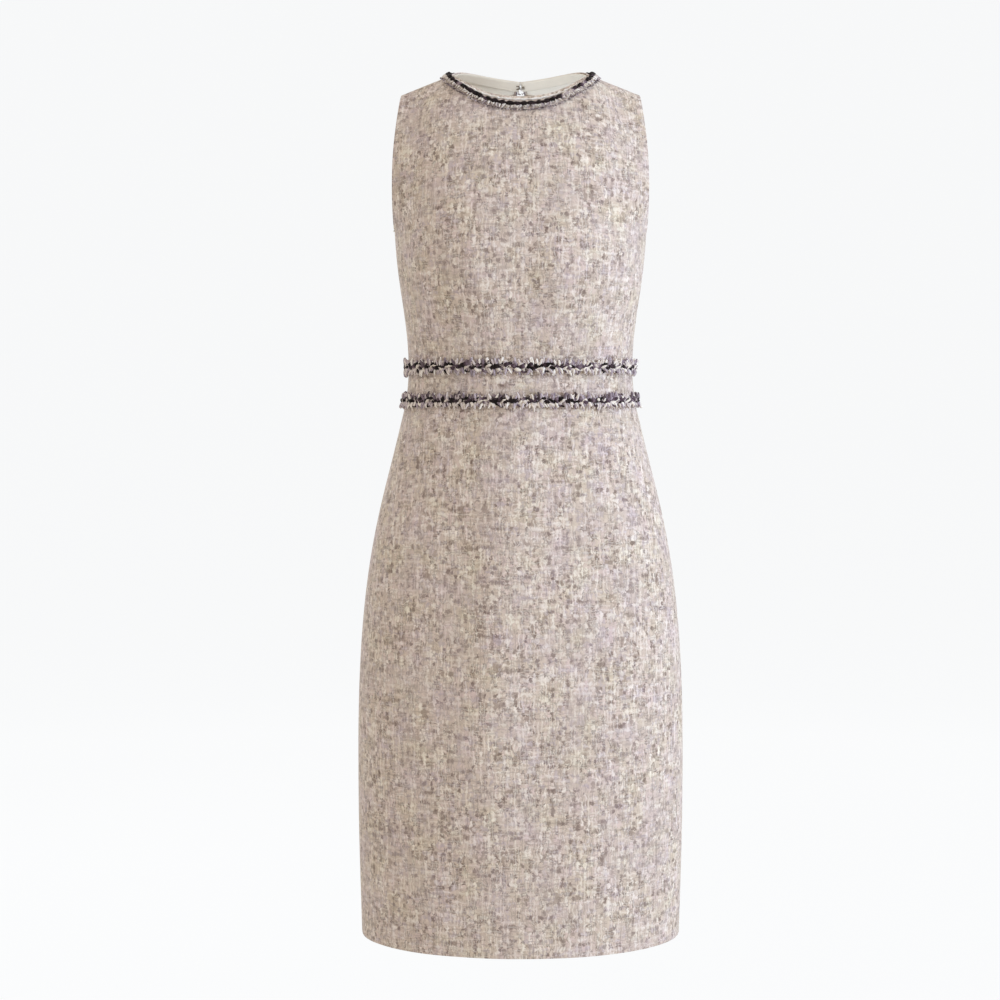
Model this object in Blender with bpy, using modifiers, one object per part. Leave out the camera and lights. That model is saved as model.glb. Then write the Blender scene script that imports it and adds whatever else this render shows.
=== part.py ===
"""A sleeveless tweed sheath dress, filled out as if worn, modelled piece by piece as it is sewn.

The frame: +Z up, front towards -Y, the wearer's left towards +X. The origin lies midway between the shoulder
seams' inner ends, because the wearer's shoulders carry the dress there.
Every size below is in millimetres, and vertices are scaled to metres as they are made.
"""

import math

import bmesh
import bpy
import numpy as np
from mathutils import Matrix, Vector
from mathutils.bvhtree import BVHTree

MM = 0.001

# ---------------------------------------------------------------- driving sizes
CLOTH = 2.0          # tweed with its lining, one wall
FACING_THICK = 0.9   # neck facing
SEAM_GAP = 0.8       # between two sewn pieces at the outer face, which closes to about 0.3 inside
SHOULDER_GAP = 1.8   # the same at the shoulder seams, where front and back meet in a low ridge
LAYER_GAP = 0.6      # between two layers that lie on each other

HEM_Z = -940.6
UNDERARM_Z = -172.0
BAND_TOP_Z = -320.5
BAND_BOTTOM_Z = -356.5

# The figure under the cloth, from hem to underarm: half width, and how far the front and the back stand from
# the side seams. A squareness of 2 is an ellipse, and more is boxier.
SECTIONS = (
    # z, half_width, front, back, front_square, back_square
    (HEM_Z, 175.0, 112.0, 106.0, 2.00, 2.00),
    (-894.0, 176.4, 113.0, 108.0, 2.00, 2.00),
    (-829.0, 178.2, 114.0, 111.0, 2.00, 2.02),
    (-760.0, 178.8, 115.5, 115.5, 2.02, 2.06),
    (-697.0, 178.6, 116.5, 119.5, 2.04, 2.10),
    (-631.0, 176.2, 116.5, 122.5, 2.06, 2.14),
    (-565.0, 170.6, 114.5, 122.0, 2.08, 2.16),
    (-499.0, 160.4, 110.5, 114.5, 2.10, 2.14),
    (-433.0, 144.6, 103.5, 100.5, 2.12, 2.10),
    (-389.0, 132.6, 99.5, 91.0, 2.14, 2.08),
    (BAND_BOTTOM_Z, 125.6, 98.0, 87.5, 2.16, 2.08),
    (BAND_TOP_Z, 122.4, 98.0, 86.5, 2.20, 2.10),
    (-279.0, 124.8, 104.5, 91.0, 2.26, 2.14),
    (-235.0, 131.2, 114.0, 98.0, 2.30, 2.20),
    (-202.0, 135.6, 114.5, 103.0, 2.30, 2.24),
    (UNDERARM_Z, 137.6, 111.0, 106.5, 2.28, 2.26),
)

# The fullest point over each breast dart, added to the front.
BUST = {"x": 80.0, "z": -222.0, "out": 10.0, "across": 50.0, "above": 70.0, "below": 46.0}

# The neckline's height as it turns from the centre line, at 0, to the shoulder seam, at 90.
NECK_HALF_WIDTH = 76.0
NECK_DEPTH = {"front": 58.0, "back": 50.0}
NECKLINE = (
    # turn, front_z, back_z
    (0.0, -31.0, 0.5),
    (15.0, -29.6, 3.0),
    (30.0, -24.6, 5.6),
    (45.0, -16.0, 7.6),
    (60.0, -7.8, 7.8),
    (75.0, -2.2, 4.6),
    (90.0, 0.0, 0.0),
)
SHOULDER_TIP_X = 130.0   # where the armhole crosses the shoulder seam
SHOULDER_TIP_Z = -22.0
SHOULDER_END_X = 158.0   # the figure's own shoulder goes on past the armhole

# How the cloth leaves its top edge. The slopes are in degrees below the horizontal, square to the neckline at
# the centre line and square to the shoulder seam at its outer end. The reaches say how far the cloth keeps to
# them before it turns down the chest or the back.
TOP_EDGE = {
    "front": {"neck_slope": 60.0, "tip_slope": 5.0, "neck_reach": 44.0, "tip_reach": 44.0},
    "back": {"neck_slope": 54.0, "tip_slope": 5.0, "neck_reach": 48.0, "tip_reach": 54.0},
}
FAN = 34.0               # how far outwards the cloth's columns lean in plan at the neck point, in degrees
CHEST_REACH = 56.0       # how far the cloth keeps the figure's own slope above the underarm
NECK_SHARE = 0.60        # share of a half panel's width that ends on the neckline

# Where the armhole's edge lies on the figure, as an angle from the centre line that is 90 at the underarm.
# The rise is 0 at the underarm and 1 at the shoulder seam.
ARMHOLE = (
    # rise, front_angle, back_angle
    (0.0, 90.0, 90.0),
    (0.03, 81.0, 82.0),
    (0.10, 73.5, 75.0),
    (0.25, 66.5, 69.0),
    (0.45, 64.5, 67.0),
    (0.65, 66.5, 69.0),
    (0.85, 72.5, 73.5),
    (1.0, 77.7, 77.7),
)
SIDE_SWELL = 21.0        # how far the figure's side swells past the straight line, behind the armhole

# Half the width that stands open down the centre back: the drop shaped gap between hook and zip slider.
CENTRE_GAP = (
    # z, half_open
    (-42.0, SEAM_GAP / 2),
    (-37.0, 1.3),
    (-29.0, 1.5),
    (-23.0, 3.2),
    (-17.0, 4.4),
    (-12.0, 3.8),
    (-7.0, 1.6),
    (-3.0, SEAM_GAP / 2),
)
VENT_TOP_Z = -800.0
VENT_HALF_OPEN = 2.5

# Trims, as sections across the strip: along is measured down the cloth, out from its face.
NECK_CORD = ((3.0, 0.0), (8.0, 0.0), (7.6, 2.8), (5.5, 4.2), (3.4, 2.8))
NECK_FRINGE = ((8.5, 0.4), (14.5, 0.4), (13.4, 2.4), (9.1, 2.8))
WAIST_FRINGE = ((-8.0, 0.0), (8.0, 0.0), (5.0, 2.6), (-5.0, 2.6))
WAIST_BRAID = ((-2.8, 3.0), (2.8, 3.0), (1.8, 5.2), (-1.8, 5.2))

# The neck facing, from its lower edge up to the neck edge. It stops a little short of the shoulder seams.
FACING = {"bottom": 10.5, "top": 0.3, "rows": 4, "shoulder_share": 0.985}

# The closure: an invisible zip whose tapes lie inside the cloth, with its slider up, under a hook and eye.
ZIP_TOP_Z = -11.0
ZIP_BOTTOM_Z = -560.0
ZIP_TAPE = {"edge": 0.3, "width": 9.0, "thick": 0.8, "least_row": 2.0}
SLIDER = {"z": -33.0, "width": 6.4, "length": 8.5, "thick": 2.4}
BRIDGE = {"width": 1.2, "length": 4.8, "wall": 1.0, "inner_height": 1.7}
PULL = {"length": 22.0, "thick": 0.8, "bar": 1.0, "top_half": 2.1, "low_half": 3.0, "eye_half": 1.2, "eye": 3.4}
FASTENER = {"down": 5.0, "wire": 0.45, "turn": 0.45, "reach": 4.6, "over": 1.7}

NECK_COLUMNS = 8         # facets of a half panel that end on the neckline
SHOULDER_COLUMNS = 4     # facets of a half panel that end on the shoulder seam
YOKE_ROWS = 11           # facets from the underarm to the shoulder


# ---------------------------------------------------------------- the figure
def spline(xs, ys):
    """A natural cubic spline through the points, as a function. xs rise."""
    xs, ys = np.asarray(xs, float), np.asarray(ys, float)
    h = np.diff(xs)
    slope = np.diff(ys) / h
    n = len(xs)
    matrix, right = np.eye(n), np.zeros(n)
    for i in range(1, n - 1):
        matrix[i, i - 1 : i + 2] = h[i - 1], 2 * (h[i - 1] + h[i]), h[i]
        right[i] = 6 * (slope[i] - slope[i - 1])
    bend = np.linalg.solve(matrix, right)

    def value(x):
        i = int(np.clip(np.searchsorted(xs, x) - 1, 0, n - 2))
        left, width = x - xs[i], h[i]
        rise = slope[i] - width * (2 * bend[i] + bend[i + 1]) / 6
        return ys[i] + left * (rise + left * (bend[i] / 2 + left * (bend[i + 1] - bend[i]) / (6 * width)))

    return value


def columns_of(table, first, *others):
    """Splines of a table's other columns against its first."""
    rows = np.array(table)
    return [spline(rows[:, first], rows[:, column]) for column in others]


HALF_WIDTH, FRONT_DEPTH, BACK_DEPTH, FRONT_SQUARE, BACK_SQUARE = columns_of(SECTIONS, 0, 1, 2, 3, 4, 5)
DEPTH = {"front": FRONT_DEPTH, "back": BACK_DEPTH}
SQUARE = {"front": FRONT_SQUARE, "back": BACK_SQUARE}
FRONT_NECK, BACK_NECK = columns_of(NECKLINE, 0, 1, 2)
NECK_HEIGHT = {"front": FRONT_NECK, "back": BACK_NECK}
LOOKS = {"front": -1.0, "back": 1.0}   # the way each side faces along Y

# The armhole turns fastest at the underarm, so its spline runs on the square root of the rise.
ARMHOLE_ROWS = np.array(ARMHOLE)
ARMHOLE_ANGLE = {
    "front": spline(np.sqrt(ARMHOLE_ROWS[:, 0]), ARMHOLE_ROWS[:, 1]),
    "back": spline(np.sqrt(ARMHOLE_ROWS[:, 0]), ARMHOLE_ROWS[:, 2]),
}


def bust_swell(x, z):
    """How far the breast darts stand the front out at (x, z)."""
    tall = BUST["above"] if z > BUST["z"] else BUST["below"]
    near = ((abs(x) - BUST["x"]) / BUST["across"]) ** 2 + ((z - BUST["z"]) / tall) ** 2
    return BUST["out"] * math.exp(-near) * max(0.0, 1 - (x / HALF_WIDTH(z)) ** 2)


def body_point(side, angle, z):
    """A point of the tube from hem to underarm. angle runs from 0 at the centre line to 90 at the side seam."""
    turn = math.radians(abs(angle))
    power = 2 / SQUARE[side](z)
    x = HALF_WIDTH(z) * max(math.sin(turn), 0.0) ** power
    y = DEPTH[side](z) * max(math.cos(turn), 0.0) ** power
    if side == "front":
        y += bust_swell(x, z)
    return np.array([math.copysign(x, angle), LOOKS[side] * y, z])


NECK_ANGLE = 90 * NECK_SHARE


def top_point(side, angle):
    """Where a column ends: on the neckline, or past the neck point on the shoulder seam."""
    share = abs(angle) / NECK_ANGLE
    if share <= 1:
        turn = math.radians(90 * share)
        x = NECK_HALF_WIDTH * math.sin(turn)
        y = LOOKS[side] * NECK_DEPTH[side] * math.cos(turn)
        z = NECK_HEIGHT[side](90 * share)
    else:
        x = NECK_HALF_WIDTH + (abs(angle) - NECK_ANGLE) / (90 - NECK_ANGLE) * (SHOULDER_END_X - NECK_HALF_WIDTH)
        y = 0.0
        z = (x - NECK_HALF_WIDTH) / (SHOULDER_TIP_X - NECK_HALF_WIDTH) * SHOULDER_TIP_Z
    return np.array([math.copysign(x, angle), y, z])


def smooth_step(share):
    share = min(1.0, max(0.0, share))
    return share * share * (3 - 2 * share)


def neck_tangent(side, share):
    """The neckline's direction towards the centre line, on the wearer's left."""
    turn = math.radians(90 * share)
    height = NECK_HEIGHT[side]
    low, high = max(0.0, 90 * share - 1), min(90.0, 90 * share + 1)
    climb = (height(low) - height(high)) / math.radians(high - low)
    flat = np.array([-NECK_HALF_WIDTH * math.cos(turn), LOOKS[side] * NECK_DEPTH[side] * math.sin(turn), climb])
    return flat / np.linalg.norm(flat)


def leave_top(side, angle):
    """The way the cloth leaves its top edge at a column of the wearer's left side, and how far it keeps to it."""
    edge, facing = TOP_EDGE[side], LOOKS[side]
    seam = np.array([SHOULDER_TIP_X - NECK_HALF_WIDTH, 0.0, SHOULDER_TIP_Z])
    seam /= np.linalg.norm(seam)
    seam_slope = math.asin(-seam[2])
    share = angle / NECK_ANGLE
    if share <= 1:
        along = neck_tangent(side, share)
        slope = math.radians(edge["neck_slope"])
        slope += smooth_step(share) * (seam_slope - slope)
        flat = np.array([-facing * along[1], facing * along[0], 0.0])
        flat *= math.copysign(1 / np.linalg.norm(flat), flat[1] * facing + flat[0])
        down = flat * math.cos(slope) - np.array([0.0, 0.0, math.sin(slope)])
        lean = math.radians(FAN) * share
    else:
        past = (angle - NECK_ANGLE) / (90 - NECK_ANGLE)
        inner = -math.asin(neck_tangent(side, 1.0)[2])
        slope = inner + smooth_step(2 * past) * (math.radians(edge["tip_slope"]) - inner)
        along = seam
        down = np.array([0.0, facing * math.cos(slope), -math.sin(slope)])
        lean = math.radians(FAN) * (1 - past)
    out = np.cross(along, down)
    way = np.array([math.sin(lean), facing * math.cos(lean), 0.0])
    way[2] = -(way @ out) / out[2]
    past = max(0.0, share - 1) / (1 / NECK_SHARE - 1)
    reach = edge["neck_reach"] + smooth_step(past) * (edge["tip_reach"] - edge["neck_reach"])
    return way / np.linalg.norm(way) * reach


def yoke_point(side, angle, rise):
    """A point above the underarm. rise runs from 0 at the underarm line to 1 at the neckline or shoulder."""
    turn = abs(angle)
    low, top = body_point(side, turn, UNDERARM_Z), top_point(side, turn)
    slope = low - body_point(side, turn, UNDERARM_Z - 2.0)
    slope *= CHEST_REACH / np.linalg.norm(slope)
    stay = 1 - rise
    point = (
        stay**3 * low
        + 3 * stay**2 * rise * (low + slope)
        + 3 * stay * rise**2 * (top + leave_top(side, turn))
        + rise**3 * top
    )
    point[0] += SIDE_SWELL * math.sin(math.pi * rise) ** 1.2 * math.sin(math.radians(turn)) ** 3
    if angle < 0:
        point[0] = -point[0]
    return point


def yoke_angle(side, share, rise):
    """The angle of a column, given as its share from -1 to 1, once the armhole has narrowed the row."""
    if abs(share) <= NECK_SHARE:
        return 90 * share
    past = (abs(share) - NECK_SHARE) / (1 - NECK_SHARE)
    edge = ARMHOLE_ANGLE[side](math.sqrt(rise))
    return math.copysign(NECK_ANGLE + past * (edge - NECK_ANGLE), share)


# ---------------------------------------------------------------- rows of panel points
def half_shares():
    """Column shares of a half panel, 0 at the centre line and 1 at the side."""
    neck = np.linspace(0, NECK_SHARE, NECK_COLUMNS + 1)
    shoulder = np.linspace(NECK_SHARE, 1, SHOULDER_COLUMNS + 1)
    return list(neck) + list(shoulder[1:])


def full_shares():
    half = half_shares()
    return [-share for share in reversed(half[1:])] + half


def seam_angle(side, z):
    """The angle of a side seam's cut edge, half a seam gap short of the side."""
    share = SEAM_GAP / 2 / DEPTH[side](z)
    return math.degrees(math.acos(share ** (SQUARE[side](z) / 2)))


def body_row(side, z, shares):
    """One row of a panel below the underarm."""
    return [body_point(side, share * seam_angle(side, z), z) for share in shares]


def yoke_row(side, rise, shares):
    """One row of a bodice panel above the underarm, up to half a seam gap short of the shoulder seam."""
    if rise == 0:
        return body_row(side, UNDERARM_Z, shares)
    row = []
    for share in shares:
        angle = yoke_angle(side, share, rise)
        top = 1.0
        if abs(share) >= NECK_SHARE:
            top = 1 - SHOULDER_GAP / 2 / (3 * np.linalg.norm(leave_top(side, abs(angle))))
        row.append(yoke_point(side, angle, min(rise, top)))
    return row


def yoke_rises():
    """The yoke's rows, closer together at both ends, where the armhole turns fastest."""
    return [(1 - math.cos(math.pi * i / YOKE_ROWS)) / 2 for i in range(YOKE_ROWS + 1)]


def heights(top, bottom, step):
    """Even heights from the bottom up, at most a step apart."""
    count = max(1, math.ceil((top - bottom) / step))
    return list(np.linspace(bottom, top, count + 1))


def skirt_levels():
    low = heights(VENT_TOP_Z, HEM_Z, 60)
    return low[:-1] + heights(BAND_BOTTOM_Z - SEAM_GAP / 2, VENT_TOP_Z, 60)


def waistband_levels():
    return heights(BAND_TOP_Z - SEAM_GAP / 2, BAND_BOTTOM_Z + SEAM_GAP / 2, 20)


def bodice_levels():
    """The bodice's rows below the underarm line, which is the yoke's first row."""
    return heights(UNDERARM_Z, BAND_TOP_Z + SEAM_GAP / 2, 25)[:-1]


def centre_back_half(z):
    """Half the width that is open at the centre back at a height: seam, drop shaped gap or vent."""
    if z < VENT_TOP_Z:
        return SEAM_GAP / 2 + VENT_HALF_OPEN * (VENT_TOP_Z - z) / (VENT_TOP_Z - HEM_Z)
    rows = np.array(CENTRE_GAP)
    return float(np.interp(z, rows[:, 0], rows[:, 1]))


def part_centre_back(points, keep=30.0):
    """Moves points at the back aside from the centre line, most at the line itself and none past keep."""
    moved = []
    for point in points:
        share = max(0.0, 1 - abs(point[0]) / keep)
        moved.append(point + np.array([centre_back_half(point[2]) * share, 0.0, 0.0]))
    return moved


def mirrored(points):
    return [point * np.array([-1.0, 1.0, 1.0]) for point in points]


# ---------------------------------------------------------------- finding the cloth's face
def tree_of(rows):
    """A search tree of the quads through rows of points, each row as long as the first."""
    points = [Vector(point) for row in rows for point in row]
    width = len(rows[0])
    faces = []
    for row in range(len(rows) - 1):
        for i in range(width - 1):
            corner = row * width + i
            faces.append((corner, corner + 1, corner + width + 1, corner + width))
    return BVHTree.FromPolygons(points, faces)


def smooth_tree():
    """A fine mesh of the figure up to the neckline, which tells which way is out of the cloth."""
    ring = [("front", angle) for angle in np.linspace(-90, 90, 97)]
    ring += [("back", angle) for angle in np.linspace(90, -90, 97)]
    low = [[body_point(side, angle, z) for side, angle in ring] for z in np.arange(HEM_Z, UNDERARM_Z, 6.0)]
    high = [[yoke_point(side, angle, rise) for side, angle in ring] for rise in np.linspace(0, 1, 40)]
    return tree_of(low + high)


def facet_tree():
    """The panels' own facets with their seams closed, which tell where the cloth's face is."""
    rows = []
    for z in skirt_levels() + waistband_levels() + bodice_levels():
        back = list(reversed(body_row("back", z, full_shares())))
        rows.append(body_row("front", z, full_shares()) + back)
    for rise in yoke_rises():
        back = list(reversed(yoke_row("back", rise, full_shares())))
        rows.append(yoke_row("front", rise, full_shares()) + back)
    return tree_of(rows)


SMOOTH = smooth_tree()
FACETS = facet_tree()


def on_cloth(point):
    """The nearest point of the cloth's face, and the unit vector out of the cloth there."""
    place = FACETS.find_nearest(Vector(point))[0]
    out = SMOOTH.find_nearest(place)[1]
    return np.array(place), np.array(out)


def below_neck(side, share, downs):
    """Points on the cloth square to the neckline and these far down from it, each with its way out."""
    angle, step = 90 * share, 0.5
    edge = top_point(side, angle)
    along = top_point(side, angle + step) - top_point(side, angle - step)
    if share >= NECK_SHARE:
        along = np.array([0.0, 1.0, 0.0])
    away = np.array([edge[0], edge[1], -NECK_HALF_WIDTH / 2])
    found = []
    for down in downs:
        place, out = on_cloth(edge)
        walked = 0.0
        while walked < down:
            across = np.cross(along, out)
            across *= math.copysign(1 / np.linalg.norm(across), float(across @ away))
            stride = min(1.5, down - walked)
            place, out = on_cloth(place + across * stride)
            walked += stride
        found.append((place, out))
    return found


# ---------------------------------------------------------------- making objects
def clear_scene():
    for item in list(bpy.data.objects):
        bpy.data.objects.remove(item, do_unlink=True)


def material(name, colour, roughness, metallic=0.0):
    made = bpy.data.materials.new(name)
    made.use_nodes = True
    shader = made.node_tree.nodes["Principled BSDF"]
    shader.inputs["Base Color"].default_value = (*colour, 1.0)
    shader.inputs["Roughness"].default_value = roughness
    shader.inputs["Metallic"].default_value = metallic
    return made


def new_object(name, data, finish):
    made = bpy.data.objects.new(name, data)
    made.data.materials.append(finish)
    PIECES.objects.link(made)
    return made


def sheet(name, rows, thick, finish):
    """A wall of cloth through rows of outer points, rows from the bottom up, each from left to right outside."""
    mesh = bpy.data.meshes.new(name)
    grid = bmesh.new()
    made = [[grid.verts.new(Vector(point) * MM) for point in row] for row in rows]
    for low, high in zip(made, made[1:]):
        for i in range(len(low) - 1):
            grid.faces.new((low[i], low[i + 1], high[i + 1], high[i]))
    grid.to_mesh(mesh)
    grid.free()
    mesh.shade_smooth()
    piece = new_object(name, mesh, finish)
    wall = piece.modifiers.new("cloth", "SOLIDIFY")
    wall.thickness = thick * MM
    wall.offset = -1.0
    wall.use_even_offset = True
    return piece


def strip(name, rings, finish):
    """A solid through closed rings of points, each ring as long as the first, with flat ends."""
    mesh = bpy.data.meshes.new(name)
    loft = bmesh.new()
    made = [[loft.verts.new(Vector(point) * MM) for point in ring] for ring in rings]
    count = len(made[0])
    for here, there in zip(made, made[1:]):
        for i in range(count):
            j = (i + 1) % count
            loft.faces.new((here[i], here[j], there[j], there[i]))
    loft.faces.new(made[0])
    loft.faces.new(made[-1])
    bmesh.ops.recalc_face_normals(loft, faces=loft.faces)
    loft.to_mesh(mesh)
    loft.free()
    return new_object(name, mesh, finish)


def back_pair(name, rows, thick, finish):
    """A back panel for each side, from rows that run from the centre line to the wearer's left side seam.

    Seen from behind, the left panel's rows run from right to left, so they are turned round.
    """
    sheet(name + "_left", [list(reversed(row)) for row in rows], thick, finish)
    sheet(name + "_right", [mirrored(row) for row in rows], thick, finish)


# ---------------------------------------------------------------- panels
def tube_panels(name, levels, finish):
    """A front and two back panels between the heights given."""
    sheet(name + "_front", [body_row("front", z, full_shares()) for z in levels], CLOTH, finish)
    back = [part_centre_back(body_row("back", z, half_shares())) for z in levels]
    back_pair(name + "_back", back, CLOTH, finish)


def bodice_rows(side, shares):
    low = [body_row(side, z, shares) for z in bodice_levels()]
    return low + [yoke_row(side, rise, shares) for rise in yoke_rises()]


def make_bodice(finish):
    sheet("bodice_front", bodice_rows("front", full_shares()), CLOTH, finish)
    back = [part_centre_back(row) for row in bodice_rows("back", half_shares())]
    back_pair("bodice_back", back, CLOTH, finish)


def facing_row(side, down, shares):
    """One row of the neck facing, inside the bodice and this far down from the neck edge."""
    row = []
    for share in shares:
        place, out = below_neck(side, abs(share), [down])[0]
        point = place - out * (CLOTH + LAYER_GAP)
        row.append(mirrored([point])[0] if share < 0 else point)
    return row


def make_facing(finish):
    """The facing that finishes the neck edge inside, in three pieces that meet at the shoulder seams."""
    downs = np.linspace(FACING["bottom"], FACING["top"], FACING["rows"])
    shoulder = NECK_SHARE * FACING["shoulder_share"]
    half = [min(share, shoulder) for share in half_shares()[: NECK_COLUMNS + 1]]
    full = [-share for share in reversed(half[1:])] + half
    sheet("facing_front", [facing_row("front", down, full) for down in downs], FACING_THICK, finish)
    back = [part_centre_back(facing_row("back", down, half)) for down in downs]
    back_pair("facing_back", back, FACING_THICK, finish)


# ---------------------------------------------------------------- trims
def around(left_half):
    """A strip's rings from the left centre back edge round the front to the right, from those of the left half.

    left_half starts at the centre back and ends at the centre front, which the strip has once.
    """
    right_half = [mirrored(ring) for ring in reversed(left_half[:-1])]
    return left_half + right_half


def side_steps(shares):
    """Pairs of side and share from the centre back over the side to the centre front."""
    return [("back", share) for share in shares] + [("front", share) for share in reversed(shares[:-1])]


def neck_trim(name, section, finish):
    """A trim along the neckline, from one side of the centre back over the shoulders to the other."""
    rings = []
    for side, share in side_steps(list(np.linspace(0, NECK_SHARE, 2 * NECK_COLUMNS + 1))):
        places = below_neck(side, share, [down for down, _ in section])
        ring = [place + out * (LAYER_GAP + high) for (place, out), (_, high) in zip(places, section)]
        rings.append(part_centre_back(ring) if side == "back" else ring)
    strip(name, around(rings), finish)


def waist_trim(name, middle, section, finish):
    """A trim round the waist at a height, from one side of the centre back to the other."""
    rings = []
    for side, share in side_steps(half_shares()):
        ring = []
        for along, high in section:
            place, out = on_cloth(body_point(side, 90 * share, middle - along))
            ring.append(place + out * (LAYER_GAP + high))
        rings.append(part_centre_back(ring) if side == "back" else ring)
    strip(name, around(rings), finish)


def make_trims(dark, pale):
    neck_trim("neck_cord", NECK_CORD, dark)
    neck_trim("neck_fringe", NECK_FRINGE, pale)
    for place, middle in (("upper", BAND_TOP_Z), ("lower", BAND_BOTTOM_Z)):
        waist_trim("waist_fringe_" + place, middle, WAIST_FRINGE, pale)
        waist_trim("waist_braid_" + place, middle, WAIST_BRAID, dark)


# ---------------------------------------------------------------- closure
def back_face(x, z):
    """The cloth's face at the back at (x, z), and the unit vector out of it."""
    place = FACETS.ray_cast(Vector((x, 400.0, z)), Vector((0.0, -1.0, 0.0)))[0]
    return np.array(place), np.array(SMOOTH.find_nearest(place)[1])


def centre_back_frame(z):
    """A frame on the centre back line: a 4x4 matrix with X to the wearer's left, Y down the cloth, Z out of it."""
    place, out = back_face(0.0, z)
    out[0] = 0.0
    out /= np.linalg.norm(out)
    left = np.array([1.0, 0.0, 0.0])
    frame = np.eye(4)
    frame[:3, 0], frame[:3, 1], frame[:3, 2], frame[:3, 3] = left, np.cross(out, left), out, place
    return frame


def in_frame(frame, points):
    return [(frame @ np.array([*point, 1.0]))[:3] for point in points]


def zip_levels():
    """The heights of the zip's rows: the panels' own rows and the turns of the centre back gap."""
    panel = skirt_levels() + waistband_levels() + bodice_levels()
    panel += [yoke_point("back", 0.0, rise)[2] for rise in yoke_rises()]
    levels = [ZIP_BOTTOM_Z]
    for z in sorted(panel + [z for z, _ in CENTRE_GAP] + [ZIP_TOP_Z]):
        if levels[-1] + ZIP_TAPE["least_row"] < z <= ZIP_TOP_Z:
            levels.append(z)
    return levels


def make_zip_tapes(finish):
    """The zip's two tapes, inside the centre back edges and just clear of them."""
    inside = CLOTH + LAYER_GAP
    rows = []
    for z in zip_levels():
        row = []
        for along in (ZIP_TAPE["edge"], ZIP_TAPE["width"]):
            place, out = back_face(centre_back_half(z) + along, z)
            row.append(place - out * inside)
        rows.append(row)
    back_pair("zip_tape", rows, ZIP_TAPE["thick"], finish)


def plate(name, frame, outline, hole, low, high, finish):
    """A flat plate with one hole, both given as (x, y) in the frame, between two heights of the frame."""
    mesh = bpy.data.meshes.new(name)
    made = bmesh.new()
    loops = []
    for height in (low, high):
        for loop in (outline, hole):
            points = in_frame(frame, [(x, y, height) for x, y in loop])
            loops.append([made.verts.new(Vector(point) * MM) for point in points])
    for bottom, top in ((loops[0], loops[2]), (loops[1], loops[3])):
        for i in range(len(bottom)):
            j = (i + 1) % len(bottom)
            made.faces.new((bottom[i], bottom[j], top[j], top[i]))
    for outer, inner in ((loops[0], loops[1]), (loops[2], loops[3])):
        edges = []
        for loop in (outer, inner):
            edges += [made.edges.get((loop[i], loop[(i + 1) % len(loop)])) for i in range(len(loop))]
        bmesh.ops.triangle_fill(made, edges=edges, use_beauty=True)
    bmesh.ops.recalc_face_normals(made, faces=made.faces)
    made.to_mesh(mesh)
    made.free()
    return new_object(name, mesh, finish)


def box(name, frame, size, centre, finish):
    """A block of the size given, along the frame's axes."""
    mesh = bpy.data.meshes.new(name)
    made = bmesh.new()
    bmesh.ops.create_cube(made, size=1.0)
    for vert in made.verts:
        local = [vert.co[i] * size[i] + centre[i] for i in range(3)]
        vert.co = Vector(in_frame(frame, [local])[0]) * MM
    made.to_mesh(mesh)
    made.free()
    return new_object(name, mesh, finish)


def make_slider(frame, finish):
    """The slider's body behind the tapes, with a bridge that comes out through the seam to carry the pull."""
    top = -(CLOTH + 2 * LAYER_GAP + ZIP_TAPE["thick"])
    body_size = (SLIDER["width"], SLIDER["length"], SLIDER["thick"])
    body = box("zip_slider", frame, body_size, (0, 0, top - SLIDER["thick"] / 2), finish)
    half, wall = BRIDGE["length"] / 2, BRIDGE["wall"]
    foot, crown = top - SLIDER["thick"] / 2, BRIDGE["inner_height"] + LAYER_GAP
    side_on = frame @ np.array([[0, 0, 1, 0], [1, 0, 0, 0], [0, 1, 0, 0], [0, 0, 0, 1.0]])
    outline = [(-half, foot), (half, foot), (half, crown), (half - wall, crown + wall),
               (wall - half, crown + wall), (-half, crown)]
    hole = [(wall - half, 0.2), (half - wall, 0.2), (half - wall, crown), (wall - half, crown)]
    reach = BRIDGE["width"] / 2
    bridge = plate("bridge", side_on, outline, hole, -reach, reach, finish)
    join = body.modifiers.new("bridge", "BOOLEAN")
    join.operation = "UNION"
    join.object = bridge
    bridge.hide_render = True
    bridge.display_type = "WIRE"
    PIECES.objects.unlink(bridge)
    CUTTERS.objects.link(bridge)
    return body


def make_pull(frame, finish):
    """The pull, whose bar lies under the bridge, hanging down the cloth from the hinge line through the bar."""
    middle = LAYER_GAP + BRIDGE["inner_height"] / 2
    bar, top, low, end = PULL["bar"] / 2, PULL["top_half"], PULL["low_half"], PULL["length"]
    outline = [(-top, -bar), (top, -bar), (top, PULL["eye"] + 1.0), (low, end * 0.55), (low, end * 0.85),
               (low * 0.6, end), (-low * 0.6, end), (-low, end * 0.85), (-low, end * 0.55),
               (-top, PULL["eye"] + 1.0)]
    eye = PULL["eye_half"]
    hole = [(-eye, bar), (eye, bar), (eye, PULL["eye"]), (-eye, PULL["eye"])]
    half = PULL["thick"] / 2
    pull = plate("zip_pull", frame, outline, hole, middle - half, middle + half, finish)
    hinge = Vector(in_frame(frame, [(0.0, 0.0, middle)])[0]) * MM
    pull.data.transform(Matrix.Translation(-hinge))
    pull.location = hinge
    return pull


def wire(name, frame, points, finish):
    """A bent wire through points of the frame."""
    line = bpy.data.curves.new(name, "CURVE")
    line.dimensions = "3D"
    line.bevel_depth = FASTENER["wire"] * MM
    line.bevel_resolution = 2
    line.use_fill_caps = True
    path = line.splines.new("POLY")
    path.points.add(len(points) - 1)
    for made, point in zip(path.points, in_frame(frame, points)):
        made.co = (*(point * MM), 1.0)
    return new_object(name, line, finish)


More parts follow.
